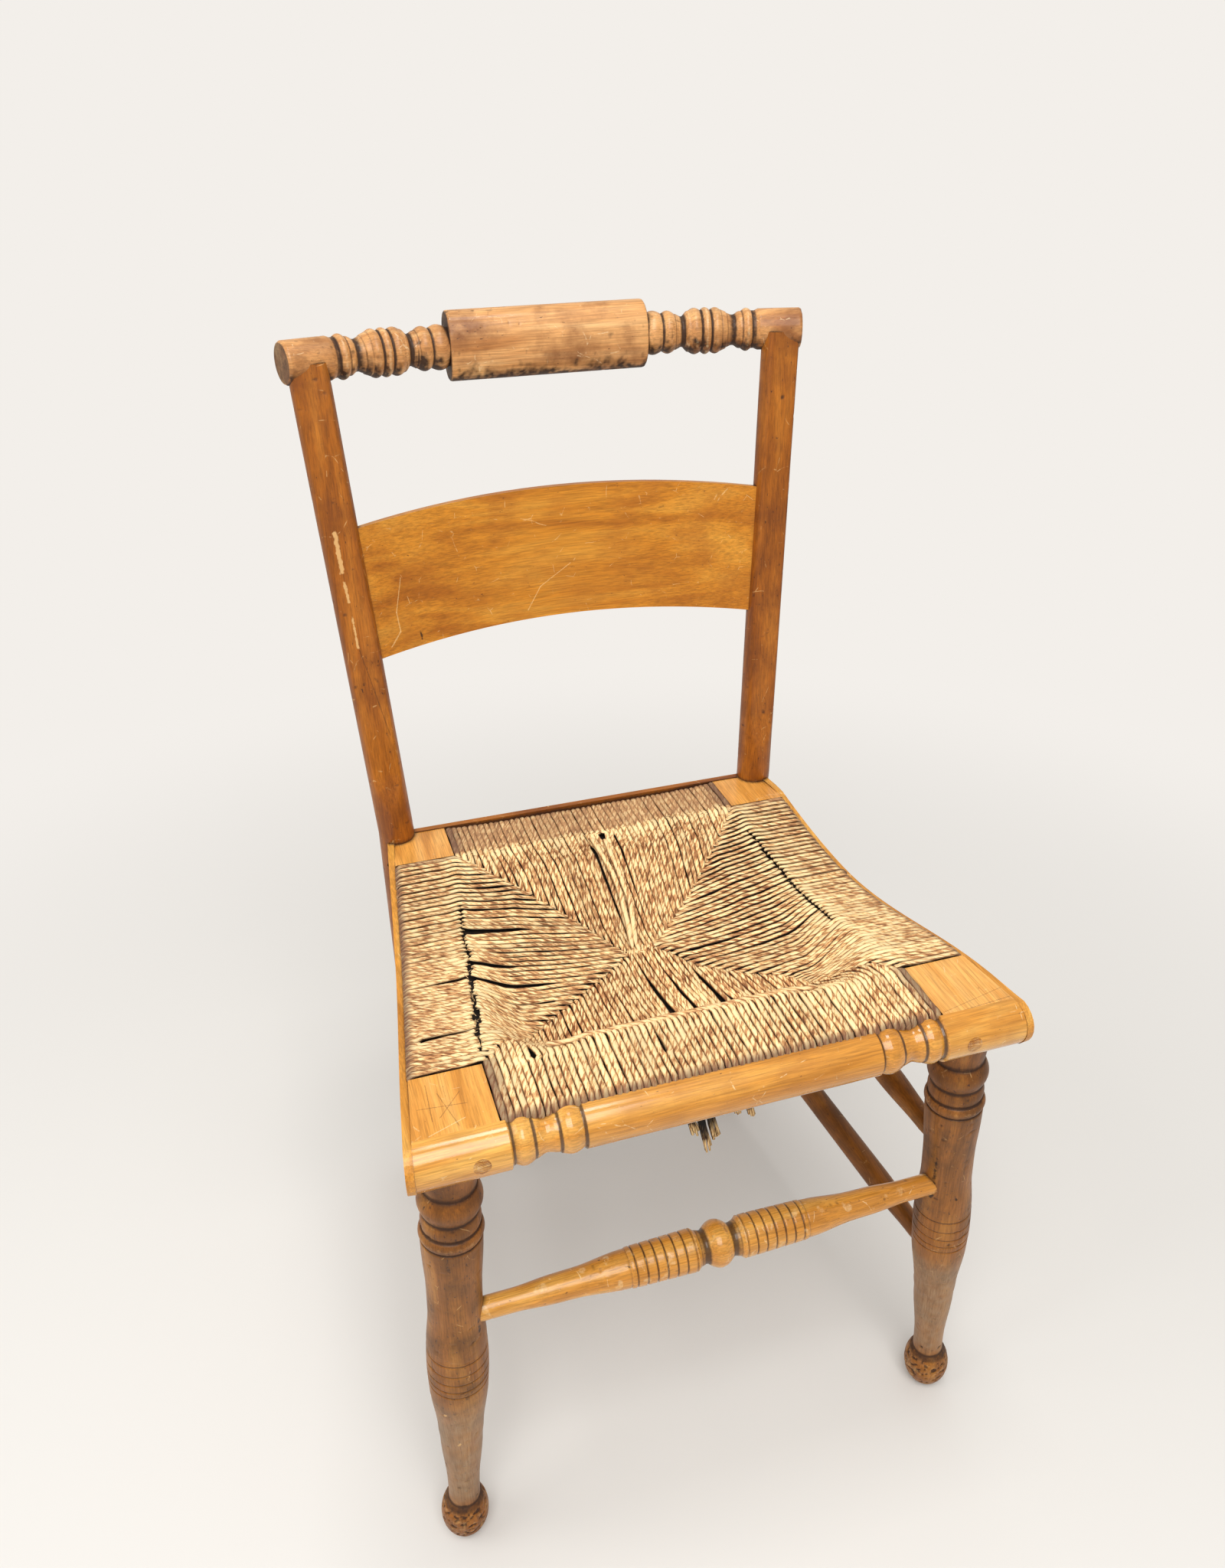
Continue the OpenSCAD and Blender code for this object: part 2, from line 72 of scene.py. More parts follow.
def make_camera():
    ahead = Vector((math.sin(LOOK_AZIMUTH) * math.cos(LOOK_DOWN),
                    math.cos(LOOK_AZIMUTH) * math.cos(LOOK_DOWN), -math.sin(LOOK_DOWN)))
    level = ahead.cross(Vector((0, 0, 1))).normalized()
    above = level.cross(ahead)
    right = math.cos(ROLL) * level + math.sin(ROLL) * above
    up = math.cos(ROLL) * above - math.sin(ROLL) * level
    data = bpy.data.cameras.new("camera")
    data.lens = LENS_MM
    data.sensor_width = 36
    camera = bpy.data.objects.new("camera", data)
    turn = Matrix((right, up, -ahead)).transposed()
    camera.matrix_world = Matrix.Translation(CAMERA_AT) @ turn.to_4x4()
    bpy.context.scene.collection.objects.link(camera)
    bpy.context.scene.camera = camera
    return camera


camera = make_camera()
print("camera", LENS_MM, "mm at", tuple(round(v, 3) for v in camera.location))

# %% [markdown]
# ## A helper for shader nodes
# Every finish here is a node tree. One helper adds a node, sets its properties and
# fills its sockets with either a value or a link, and hands back the output that the
# next node needs. Colours are written as sRGB hex, the way a paint chart gives them,
# and one function turns them into the linear values that the renderer works in.

# %% Colour and node helpers


def linear(hex_colour):
    """sRGB hex such as '#b9763a' to linear RGBA."""
    parts = [int(hex_colour[i:i + 2], 16) / 255 for i in (1, 3, 5)]
    return [c / 12.92 if c < 0.04045 else ((c + 0.055) / 1.055) ** 2.4 for c in parts] + [1.0]


def fill(tree, node, sockets):
    """Gives each named input a value, or links it to another node's output."""
    for key, value in sockets.items():
        if isinstance(value, bpy.types.NodeSocket):
            tree.links.new(value, node.inputs[key])
        else:
            node.inputs[key].default_value = value


def add(tree, kind, sockets=None, out=0, stops=None, **settings):
    """Adds a shader node and hands back one of its outputs; stops are a ramp's
    (place, colour) pairs, each colour as hex, a grey level or linear values."""
    made = tree.nodes.new("ShaderNode" + kind)
    for name, value in settings.items():
        setattr(made, name, value)
    fill(tree, made, sockets or {})
    if stops:
        ramp = made.color_ramp
        while len(ramp.elements) < len(stops):
            ramp.elements.new(0.5)
        for element, (at, colour) in zip(ramp.elements, stops):
            element.position = at
            colour = linear(colour) if isinstance(colour, str) else colour
            element.color = colour if isinstance(colour, list) else [colour] * 3 + [1]
    return made.outputs[out]


def new_material(name):
    """An empty material and its tree, with the surface and output nodes in it."""
    material = bpy.data.materials.new(name)
    material.use_nodes = True
    tree = material.node_tree
    tree.nodes.clear()
    surface = tree.nodes.new("ShaderNodeBsdfPrincipled")
    output = tree.nodes.new("ShaderNodeOutputMaterial")
    tree.links.new(surface.outputs[0], output.inputs["Surface"])
    return material, tree, surface


print("amber", [round(v, 3) for v in linear("#c98a3f")])

# %% From a bmesh to a piece of the chair


def make_object(name, mesh, material):
    """Puts a finished mesh into the scene, at the origin, with its material."""
    mesh.materials.append(material)
    made = bpy.data.objects.new(name, mesh)
    bpy.context.scene.collection.objects.link(made)
    return made


def on_chair(name, mesh, material, node=None):
    """A piece of the chair: it rides on the one body and may replace a rough node."""
    piece = make_object(name, mesh, material)
    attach(piece, "root")
    if node:
        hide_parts(node)


def as_mesh(name, bm, soft=True):
    """Turns a bmesh into a mesh; soft shades it as one smooth surface."""
    for face in bm.faces:
        face.smooth = soft
    mesh = bpy.data.meshes.new(name)
    bm.to_mesh(mesh)
    bm.free()
    return mesh


# %% Two curves used everywhere


def smooth(a, b, x):
    """0 at a, 1 at b, with a soft start and end."""
    t = min(1.0, max(0.0, (x - a) / (b - a)))
    return t * t * (3 - 2 * t)


def mixed(a, b, t):
    return a + (b - a) * t


print("halfway from 2 to 4 is", mixed(2, 4, smooth(0, 1, 0.5)))

# %% [markdown]
# ## Studio
# The chair stands on a plain pale floor under soft studio light. A big panel above the
# front gives the long highlights on the front roll, a weaker one opens up the left, a
# small one overhead gives the legs a soft shadow, and a pale world fills the rest, so
# that a colour renders about as it is written. What the
# camera sees behind the chair is one even off-white: the world shows it directly, and
# the floor fades into it a metre or two away, so that there is no horizon.

# %% Floor and light
FLOOR_COLOUR = "#e4e1dc"
BACKDROP_COLOUR = "#f3efea"
WORLD_STRENGTH = 0.545


def make_floor():
    bm = bmesh.new()
    bmesh.ops.create_grid(bm, x_segments=1, y_segments=1, size=14)
    material, tree, surface = new_material("pale matt studio floor")
    fill(tree, surface, {"Base Color": linear(FLOOR_COLOUR), "Roughness": 0.9,
                         "Specular IOR Level": 0.2})
    place = add(tree, "TexCoord", out="Object")
    away = add(tree, "VectorMath", {0: place}, out="Value", operation="LENGTH")
    fade = add(tree, "MapRange", {"Value": away, "From Min": 0.4, "From Max": 1.5},
               interpolation_type="SMOOTHSTEP")
    seen = add(tree, "Math", {0: fade, 1: add(tree, "LightPath", out="Is Camera Ray")},
               operation="MULTIPLY")
    glow = add(tree, "Emission", {"Color": linear(BACKDROP_COLOUR), "Strength": 1.0})
    mixed_floor = add(tree, "MixShader", {0: seen, 1: surface.outputs[0], 2: glow})
    tree.links.new(mixed_floor, tree.nodes["Material Output"].inputs["Surface"])
    floor = make_object("floor", as_mesh("floor", bm, soft=False), material)


def make_panel(name, at, aim, size, power):
    """A square soft lamp at one point, aimed at another."""
    data = bpy.data.lights.new(name, "AREA")
    data.size = size
    data.energy = power
    lamp = bpy.data.objects.new(name, data)
    lamp.location = at
    lamp.rotation_euler = (Vector(aim) - Vector(at)).to_track_quat("-Z", "Y").to_euler()
    bpy.context.scene.collection.objects.link(lamp)


make_floor()
world = bpy.data.worlds.new("studio")
bpy.context.scene.world = world
world.use_nodes = True
sky = world.node_tree
sky.nodes.clear()
lighting = add(sky, "Background", {"Color": (1.0, 0.99, 0.97, 1), "Strength": WORLD_STRENGTH})
backdrop = add(sky, "Background", {"Color": linear(BACKDROP_COLOUR), "Strength": 1.0})
shown = add(sky, "MixShader", {0: add(sky, "LightPath", out="Is Camera Ray"),
                               1: lighting, 2: backdrop})
sky.links.new(shown, sky.nodes.new("ShaderNodeOutputWorld").inputs["Surface"])
make_panel("front_panel", (-0.35, -1.5, 2.4), (0, 0, 0.4), 1.6, 46)
make_panel("left_panel", (-1.9, -0.1, 1.7), (0, 0, 0.4), 1.4, 12)
make_panel("top_panel", (0.1, -0.1, 2.3), (0, -0.1, 0.4), 0.42, 6.5)
bpy.context.scene.view_settings.view_transform = "Standard"
print("floor", FLOOR_COLOUR, "and", len(bpy.data.lights), "lamps")

# %% [markdown]
# ## Varnished maple
# The wood is hard maple under an old amber varnish. Maple has a fine, even grain with
# short dark flecks, and the varnish over it has yellowed, collected dirt and been
# scratched. The finish is built from layers, each with its own size in millimetres:
# broad growth figure, fine fibres, blotches in the varnish, flecks, scratches, dirt and
# painted shade in the corners, and bare wood on the edges. Dirt, painted shade and wear
# come from point attributes on the turned pieces, and everywhere from ambient occlusion
# too, since the straight construction pieces have no attributes. The occlusion darkens
# corners, grooves and joints, so it paints shade there as well as dirt. Occlusion only
# reads the shape, so it bakes.

# %% Marks that follow a line on the surface


def line_mark(tree, place, start, end, width, ragged=0.9):
    """Mask, 1 near the line from start to end (metres), with a ragged edge."""
    start, end = Vector(start), Vector(end)
    run = end - start
    offset = add(tree, "VectorMath", {0: place, 1: start}, operation="SUBTRACT")
    t = add(tree, "VectorMath", {0: offset, 1: run / run.length_squared}, out="Value",
            operation="DOT_PRODUCT")
    t = add(tree, "Clamp", {"Value": t})
    foot = add(tree, "VectorMath", {0: run, "Scale": t}, operation="SCALE")
    gap = add(tree, "VectorMath", {0: offset, 1: foot}, out="Value", operation="DISTANCE")
    rough = add(tree, "TexNoise", {"Vector": place, "Scale": 0.45 / width + 60,
                                   "Detail": 3.0})
    rough = add(tree, "Math", {0: rough, 1: 2 * ragged * width, 2: -ragged * width},
                operation="MULTIPLY_ADD")
    gap = add(tree, "Math", {0: gap, 1: rough}, operation="ADD")
    return add(tree, "MapRange", {"Value": gap, "From Min": 0.6 * width, "From Max": width,
                                  "To Min": 1.0, "To Max": 0.0})


print("a mark can follow a line of any length")

# %% Grain and scratches
FLECK, DUST = "#3a1f10", "#a08668"      # the wood's own flecks; dry grey-brown dust
# the first colour below paints dirt in the grooves and painted shade in corners and joints
GRIME_AND_SHADE, DEEP_DIRT = "#2b170d", "#1d100a"  # dirt in the grooves; and in deep cuts
HAIRLINE = 0.9 * MM                     # a mark up to this wide is only a scratch


def stretched(tree, place, along, fine, long, offset=0.0):
    """Coordinates drawn out along the grain: one unit is `fine` metres across it and
    `long` metres along it."""
    scale = [1 / fine] * 3
    scale["xyz".index(along)] = 1 / long
    return add(tree, "Mapping", {"Vector": place, "Scale": scale, "Location": [offset] * 3})


def grain(tree, place, tones, along, seed):
    """The wood's own colour, with figure 18 mm wide, and its fibres, 1 mm wide."""
    figure = add(tree, "TexNoise", {"Vector": stretched(tree, place, along, 0.018, 0.16, seed),
                                    "Scale": 1.0, "Detail": 4.0, "Distortion": 0.8})
    fibre = add(tree, "TexNoise", {"Vector": stretched(tree, place, along, 0.0011, 0.028, seed),
                                   "Scale": 1.0, "Detail": 3.0, "Roughness": 0.65})
    colour = add(tree, "ValToRGB", {"Fac": figure}, stops=[(0.3, tones[0]), (0.5, tones[1]),
                                                         (0.72, tones[2])])
    tint = add(tree, "ValToRGB", {"Fac": fibre}, stops=[(0.34, 0.6), (0.62, 1.05)])
    colour = add(tree, "Mix", {0: 0.85, 6: colour, 7: tint}, out=2, data_type="RGBA",
                 blend_type="MULTIPLY")
    return colour, fibre


def hairlines(tree, place, amount):
    """Hairline scratches: the borders of big, drawn-out cells, broken up by noise."""
    warped = add(tree, "TexNoise", {"Vector": place, "Scale": 1 / 0.05, "Detail": 2.0}, out=1)
    warped = add(tree, "VectorMath", {0: warped, 1: [0.02] * 3, 2: place},
                 operation="MULTIPLY_ADD")
    cells = add(tree, "TexVoronoi", {"Vector": warped, "Scale": 1 / 0.022}, out="Distance",
                feature="DISTANCE_TO_EDGE")
    broken = add(tree, "TexNoise", {"Vector": place, "Scale": 1 / 0.012, "Detail": 3.0,
                                    "Roughness": 0.7})
    scratch = add(tree, "MapRange", {"Value": cells, "From Min": 0.006, "From Max": 0.016,
                                     "To Min": 1.0, "To Max": 0.0})
    broken = add(tree, "MapRange", {"Value": broken, "From Min": 0.56, "From Max": 0.64,
                                    "To Max": amount})
    return add(tree, "Math", {0: scratch, 1: broken}, operation="MULTIPLY")


print("grain, flecks", FLECK, "and hairlines", HAIRLINE / MM, "mm wide at most")

# %% Dirt and wear


def grime_and_shade_in(tree, place, ragged, amount, rings, along):
    """Dirt and painted shade in the corners and grooves, where occlusion darkens them, and dirt
    in the lathe cuts at rings.
    """
    grime_and_shade_at = add(tree, "Attribute", attribute_name="grime_and_shade", out="Fac")
    # painted shade: occlusion darkens corners, grooves and the joints between parts, on top of
    # the dirt
    shade = add(tree, "AmbientOcclusion", {"Distance": 0.006}, out="AO", samples=8)
    shade = add(tree, "MapRange", {"Value": shade, "From Min": 0.40, "From Max": 0.86,
                                   "To Min": 1.0, "To Max": 0.0})
    grime_and_shade_at = add(tree, "Math", {0: grime_and_shade_at, 1: shade}, operation="MAXIMUM")
    if rings:
        reach = add(tree, "SeparateXYZ", {0: place}, out="xyz".index(along))
        reach = add(tree, "Math", {0: reach}, operation="ABSOLUTE")
        for at in rings:
            gap = add(tree, "Math", {0: reach, 1: at}, operation="SUBTRACT")
            gap = add(tree, "Math", {0: gap}, operation="ABSOLUTE")
            ring = add(tree, "MapRange", {"Value": gap, "From Min": 0.0004, "From Max": 0.0016,
                                          "To Min": 1.0, "To Max": 0.0})
            grime_and_shade_at = add(tree, "Math", {0: grime_and_shade_at, 1: ring}, operation="MAXIMUM")
    spread = add(tree, "Math", {0: ragged, 1: 1.3, 2: 0.35}, operation="MULTIPLY_ADD")
    grime_and_shade_at = add(tree, "Math", {0: grime_and_shade_at, 1: spread}, operation="MULTIPLY")
    return add(tree, "MapRange", {"Value": grime_and_shade_at, "From Min": 0.12, "From Max": 0.8,
                                  "To Max": amount})


def worn_from(tree, ragged, amount):
    """Varnish rubbed through to bare wood, on corners and where a piece says so."""
    worn_at = add(tree, "Attribute", attribute_name="worn", out="Fac")
    corner = add(tree, "AmbientOcclusion", {"Distance": 0.0018}, out="AO", samples=8,
                 inside=True, only_local=True)
    corner = add(tree, "MapRange", {"Value": corner, "From Min": 0.40, "From Max": 0.60,
                                    "To Min": 0.48, "To Max": 0.0})
    worn_at = add(tree, "Math", {0: worn_at, 1: corner}, operation="MAXIMUM")
    spread = add(tree, "Math", {0: ragged, 1: 1.8, 2: -0.35}, operation="MULTIPLY_ADD")
    worn_at = add(tree, "Math", {0: worn_at, 1: spread}, operation="MULTIPLY")
    return add(tree, "MapRange", {"Value": worn_at, "From Min": 0.2, "From Max": 0.5,
                                  "To Max": amount})


print("dirt", GRIME_AND_SHADE, "and dust", DUST)

# %% The whole finish


def varnished(name, tones, along="z", grime_and_shade=0.85, wear=0.5, flecks=0.4, gloss=0.5, blotch=0.5,
              marks=(), rings=(), seed=0.0, scratches=0.5):
    """Maple under old varnish. tones: dark, middle, pale, browned and bare hex; marks:
    (start, end, width, 'dark' or 'bare') lines on the surface; rings: places along the
    grain, either side of the middle, where a lathe cut holds dirt."""
    material, tree, surface = new_material(name)
    place = add(tree, "TexCoord", out="Object")
    colour, fibre = grain(tree, place, tones, along, seed)
    # uneven varnish: browner clouds a few centimetres wide
    cloud = add(tree, "TexNoise", {"Vector": place, "Scale": 1 / 0.035, "Detail": 5.0,
                                   "Roughness": 0.6})
    cloud_mask = add(tree, "MapRange", {"Value": cloud, "From Min": 0.47, "From Max": 0.72,
                                        "To Max": blotch})
    # short dark flecks, 1 to 3 mm long
    fleck = add(tree, "TexNoise", {"Vector": stretched(tree, place, along, 0.0016, 0.004, seed),
                                   "Scale": 1.0, "Detail": 2.0})
    fleck = add(tree, "Math", {0: fleck, 1: add(tree, "Math", {0: cloud, 1: 0.25, 2: -0.12},
                                              operation="MULTIPLY_ADD")}, operation="ADD")
    fleck_mask = add(tree, "MapRange", {"Value": fleck, "From Min": 0.78 - 0.12 * flecks,
                                        "From Max": 0.86 - 0.1 * flecks, "To Max": 0.85})
    scratch = hairlines(tree, place, scratches)
    # dust trodden and mopped into the varnish
    dust = add(tree, "Attribute", attribute_name="dust", out="Fac")
    streaky = add(tree, "Math", {0: fibre, 1: 1.3, 2: -0.2}, operation="MULTIPLY_ADD")
    streaky = add(tree, "Math", {0: cloud, 1: 0.6, 2: streaky}, operation="MULTIPLY_ADD")
    dust = add(tree, "Math", {0: dust, 1: streaky}, operation="MULTIPLY")
    # dirt with its painted shade, and wear, share one ragged edge
    ragged = add(tree, "TexNoise", {"Vector": place, "Scale": 1 / 0.004, "Detail": 4.0,
                                    "Roughness": 0.65})
    grime_and_shade_mask = grime_and_shade_in(tree, place, ragged, grime_and_shade, rings, along)
    worn_mask = worn_from(tree, ragged, wear)
    # single knocks and scratches; the thin ones let the wood show through
    layers = [(cloud_mask, tones[3]), (fleck_mask, FLECK), (scratch, tones[4]), (dust, DUST),
              (grime_and_shade_mask, GRIME_AND_SHADE), (worn_mask, tones[4])]
    dent = add(tree, "Math", {0: scratch, 1: fleck_mask}, operation="MAXIMUM")
    for start, end, width, kind in marks:
        mask = line_mark(tree, place, start, end, width)
        strength = 0.85 if width > HAIRLINE else 0.38
        mask = add(tree, "Math", {0: mask, 1: strength}, operation="MULTIPLY")
        layers.append((mask, DEEP_DIRT if kind == "dark" else tones[4]))
        dent = add(tree, "Math", {0: dent, 1: mask}, operation="MAXIMUM")
    # every layer lies over the ones before it
    for mask, tone in layers:
        colour = add(tree, "Mix", {0: mask, 6: colour, 7: linear(tone)}, out=2,
                     data_type="RGBA")
    height = add(tree, "Math", {0: fibre, 1: 0.12}, operation="MULTIPLY")
    height = add(tree, "Math", {0: height, 1: dent}, operation="SUBTRACT")
    dull = add(tree, "Math", {0: grime_and_shade_mask, 1: worn_mask}, operation="MAXIMUM")
    dull = add(tree, "Math", {0: dull, 1: scratch}, operation="MAXIMUM")
    rough = add(tree, "MapRange", {"Value": cloud, "From Min": 0.3, "From Max": 0.75,
                                   "To Min": 0.52 - 0.36 * gloss, "To Max": 0.66 - 0.3 * gloss})
    rough = add(tree, "Math", {0: dull, 1: 0.3, 2: rough}, operation="MULTIPLY_ADD")
    normal = add(tree, "Bump", {"Height": height, "Strength": 0.5, "Distance": 0.00025})
    fill(tree, surface, {"Base Color": colour, "Roughness": rough, "Normal": normal,
                         "IOR": 1.5, "Specular IOR Level": 0.3,
                         "Coat Weight": 0.6 * gloss * gloss, "Coat Roughness": 0.1})
    return material


print("a varnished finish has six layers over the grain")

# %% Tones of the wood
# dark figure, middle, pale figure, browned varnish, bare wood
AMBER = ["#ac6413", "#cb8222", "#da9836", "#9c5812", "#f3cd8e"]
GOLD = ["#bb7722", "#d8933a", "#eab057", "#a96a20", "#fae0ac"]
HONEY = ["#d08a38", "#eca64f", "#f8bd6b", "#c17a30", "#ffe2ad"]
BROWN = ["#80430c", "#a25b14", "#b97022", "#6c360d", "#dcae70"]
UMBER = ["#6f400c", "#95591a", "#b3782f", "#56320e", "#d0a36a"]
BUFF = ["#b0713a", "#dba063", "#efc389", "#82502a", "#f6daab"]
print("rubbed-through slat shows", AMBER[4], "under", AMBER[1])

# %% Single knocks and scratches
# These places, in metres, are tables that another program worked out.
# (start, end, width, kind), in metres on the chair
slat_marks = [
    ((-0.1376, 0.1674, 0.6721), (-0.1441, 0.1639, 0.6452), 0.0005, "bare"),
    ((-0.1441, 0.1639, 0.6452), (-0.1425, 0.1630, 0.6290), 0.0006, "bare"),
    ((-0.1425, 0.1630, 0.6290), (-0.1512, 0.1601, 0.6179), 0.0007, "bare"),
    ((-0.0327, 0.1781, 0.6275), (-0.0206, 0.1800, 0.6464), 0.0005, "bare"),
    ((-0.0206, 0.1800, 0.6464), (0.0066, 0.1816, 0.6633), 0.0005, "bare"),
    ((0.0847, 0.1790, 0.7029), (0.0880, 0.1788, 0.7040), 0.0009, "dark"),
    ((-0.1250, 0.1650, 0.6190), (-0.1262, 0.1655, 0.6260), 0.0012, "dark")]
post_marks = [
    ((-0.1777, 0.1501, 0.6223), (-0.1702, 0.1473, 0.5856), 0.0006, "dark"),
    ((-0.1702, 0.1473, 0.5856), (-0.1624, 0.1444, 0.5475), 0.0005, "dark"),
    ((-0.1842, 0.1565, 0.7160), (-0.1829, 0.1553, 0.6860), 0.0021, "bare"),
    ((-0.1825, 0.1550, 0.6780), (-0.1808, 0.1536, 0.6620), 0.0014, "bare"),
    ((-0.1800, 0.1530, 0.6500), (-0.1788, 0.1503, 0.6250), 0.0011, "bare"),
    ((-0.1840, 0.1480, 0.5500), (-0.1832, 0.1475, 0.5400), 0.0010, "dark"),
    ((0.1871, 0.1532, 0.7143), (0.1874, 0.1522, 0.6884), 0.0014, "bare"),
    ((0.1650, 0.1470, 0.6300), (0.1645, 0.1450, 0.6050), 0.0006, "dark")]
leg_marks = [
    ((0.1760, -0.1965, 0.2896), (0.1774, -0.1954, 0.2479), 0.0022, "dark"),
    ((0.1919, -0.2066, 0.2548), (0.1935, -0.2064, 0.2500), 0.0014, "dark"),
    ((0.1975, -0.2070, 0.1993), (0.1990, -0.2065, 0.1960), 0.0016, "bare"),
    ((0.1941, -0.2063, 0.1864), (0.1948, -0.2060, 0.1840), 0.0010, "dark"),
    ((-0.1810, -0.2008, 0.2600), (-0.1815, -0.2010, 0.2480), 0.0018, "dark"),
    ((-0.2147, -0.2013, 0.1671), (-0.2120, -0.2020, 0.1690), 0.0012, "bare"),
    ((-0.2080, -0.2030, 0.1280), (-0.2060, -0.2030, 0.1310), 0.0014, "bare")]
block_marks = [
    ((-0.1951, -0.1603, 0.445), (-0.1959, -0.1932, 0.445), 0.0004, "dark"),
    ((-0.2034, -0.1804, 0.445), (-0.1723, -0.1838, 0.445), 0.0004, "dark"),
    ((-0.1749, -0.1722, 0.445), (-0.1908, -0.1915, 0.445), 0.0004, "dark"),
    ((-0.1807, -0.2017, 0.445), (-0.1890, -0.1700, 0.445), 0.0004, "dark"),
    ((-0.2003, -0.2051, 0.445), (-0.1760, -0.1960, 0.445), 0.0004, "bare"),
    ((0.1600, -0.2070, 0.445), (0.2124, -0.2032, 0.445), 0.0004, "dark"),
    ((0.1578, -0.2037, 0.445), (0.2122, -0.1924, 0.445), 0.0003, "dark")]
print("marks:", len(slat_marks + post_marks + leg_marks + block_marks))

# %% The wood finishes of this chair
slat_wood = varnished("amber varnished maple slat", AMBER, "x", gloss=0.5, seed=3.1,
                      marks=slat_marks, scratches=0.35, flecks=0.5)
roll_wood = varnished("golden varnished maple roll", GOLD, "x", gloss=1.0, seed=4.2, wear=0.6,
                      rings=(0.1045, 0.1205, 0.1370, 0.1510))
turned_gold = varnished("golden varnished maple stretcher", GOLD, "x", gloss=0.8, seed=6.1,
                        flecks=0.8)
block_wood = varnished("honey varnished maple block", HONEY, "y", gloss=0.8, seed=7.7,
                       marks=block_marks, blotch=0.3, scratches=0.3)
strip_wood = varnished("rubbed varnished maple strip", GOLD, "y", gloss=0.5, seed=2.7, wear=0.8)
post_wood = varnished("browned varnished maple post", BROWN, "z", flecks=0.8, blotch=0.7,
                      seed=1.3, marks=post_marks)
leg_wood = varnished("dark varnished maple leg", UMBER, "z", flecks=1.1, blotch=0.9,
                     gloss=0.35, seed=8.4, marks=leg_marks, wear=0.7)
crest_wood = varnished("handled varnished maple crest", BUFF, "x", flecks=0.6, blotch=0.95,
                       gloss=0.5, seed=9.2, wear=0.6, grime_and_shade=0.95)
rod_wood = varnished("browned varnished maple rod", UMBER, "y", flecks=0.8, blotch=0.7,
                     gloss=0.35, seed=5.9)
back_wood = varnished("browned varnished maple back", BROWN, "x", flecks=0.6, seed=9.9)
print("wood finishes:", len([m for m in bpy.data.materials if "maple" in m.name]))

# %% [markdown]
# ## Bare wood and old steel
# The rails inside the rush were never varnished: dry, grey-brown wood. The nails and
# screws are iron with a thin skin of brown rust, dark and rough, with a little dull
# metal where a screwdriver has rubbed it.

# %% Bare wood, steel


def bare_wood():
    material, tree, surface = new_material("raw dry maple")
    place = add(tree, "TexCoord", out="Object")
    fibre = add(tree, "TexNoise", {"Vector": stretched(tree, place, "x", 0.0012, 0.03),
                                   "Scale": 1.0, "Detail": 4.0})
    colour = add(tree, "ValToRGB", {"Fac": fibre}, stops=[(0.3, "#5d4128"), (0.7, "#94704a")])
    bump = add(tree, "Bump", {"Height": fibre, "Strength": 0.6, "Distance": 0.0003})
    fill(tree, surface, {"Base Color": colour, "Normal": bump, "Roughness": 0.85})
    return material


def rusted_steel():
    material, tree, surface = new_material("lightly rusted steel")
    place = add(tree, "TexCoord", out="Object")
    rust = add(tree, "TexNoise", {"Vector": place, "Scale": 1 / 0.0012, "Detail": 4.0})
    colour = add(tree, "ValToRGB", {"Fac": rust}, stops=[(0.4, "#1f1813"), (0.62, "#4d2c1a")])
    metal = add(tree, "MapRange", {"Value": rust, "From Min": 0.4, "From Max": 0.6,
                                   "To Min": 0.9, "To Max": 0.1})
    bump = add(tree, "Bump", {"Height": rust, "Strength": 0.5, "Distance": 0.0002})
    fill(tree, surface, {"Base Color": colour, "Metallic": metal, "Normal": bump,
                         "Roughness": 0.6})
    return material


raw = bare_wood()
steel = rusted_steel()
print("plain finishes:", raw.name, "and", steel.name)

# %% Give the construction pieces their finish
FINISH = {"back_slat": slat_wood, "front_roll": roll_wood, "front_stretcher": turned_gold,
          "crest_rail": crest_wood, "roll_plugs": back_wood}
KINDS = [("screws", steel), ("brads", steel), ("seat_rail", raw), ("block", block_wood),
         ("side_strip", strip_wood), ("leg", leg_wood), ("post", post_wood),
         ("side_stretcher", rod_wood), ("", back_wood)]
for name, node in nodes.items():
    finish = FINISH.get(name) or next(m for kind, m in KINDS if kind in name)
    node.data.materials.clear()
    node.data.materials.append(finish)
print("finished", len(nodes), "construction pieces")

# %% [markdown]
# ## Turned pieces
# The legs, the front stretcher, the crest rail and the back posts came off a lathe: a
# gouge followed an outline while the blank spun. Blender's spin operator does the same
# with an outline of (radius, height) pairs, in millimetres. Spinning it again here, in
# place of the construction solids, gives every ring of points its own grime and wear:
# where the outline lies below its surroundings dirt collects, and where it stands proud
# the varnish is rubbed through. Small dents are pushed into the points themselves.

# %% Outlines for the lathe


def bead(low, high, base, top, count=8):
    """A half round between two heights."""
    return [(base + (top - base) * math.sin(math.pi * i / count), mixed(low, high, i / count))
            for i in range(count + 1)]


def run(low, high, start, end, count=6):
    """A smooth change of radius."""
    return [(mixed(start, end, smooth(0, 1, i / count)), mixed(low, high, i / count))
            for i in range(count + 1)]


def groove(height, radius, width=0.8, depth=0.9):
    return [(radius, height - width), (radius - depth, height), (radius, height + width)]


def both_ways(half):
    """An outline that is the same on both sides of height 0."""
    return [(radius, -height) for radius, height in half[::-1]] + list(half)


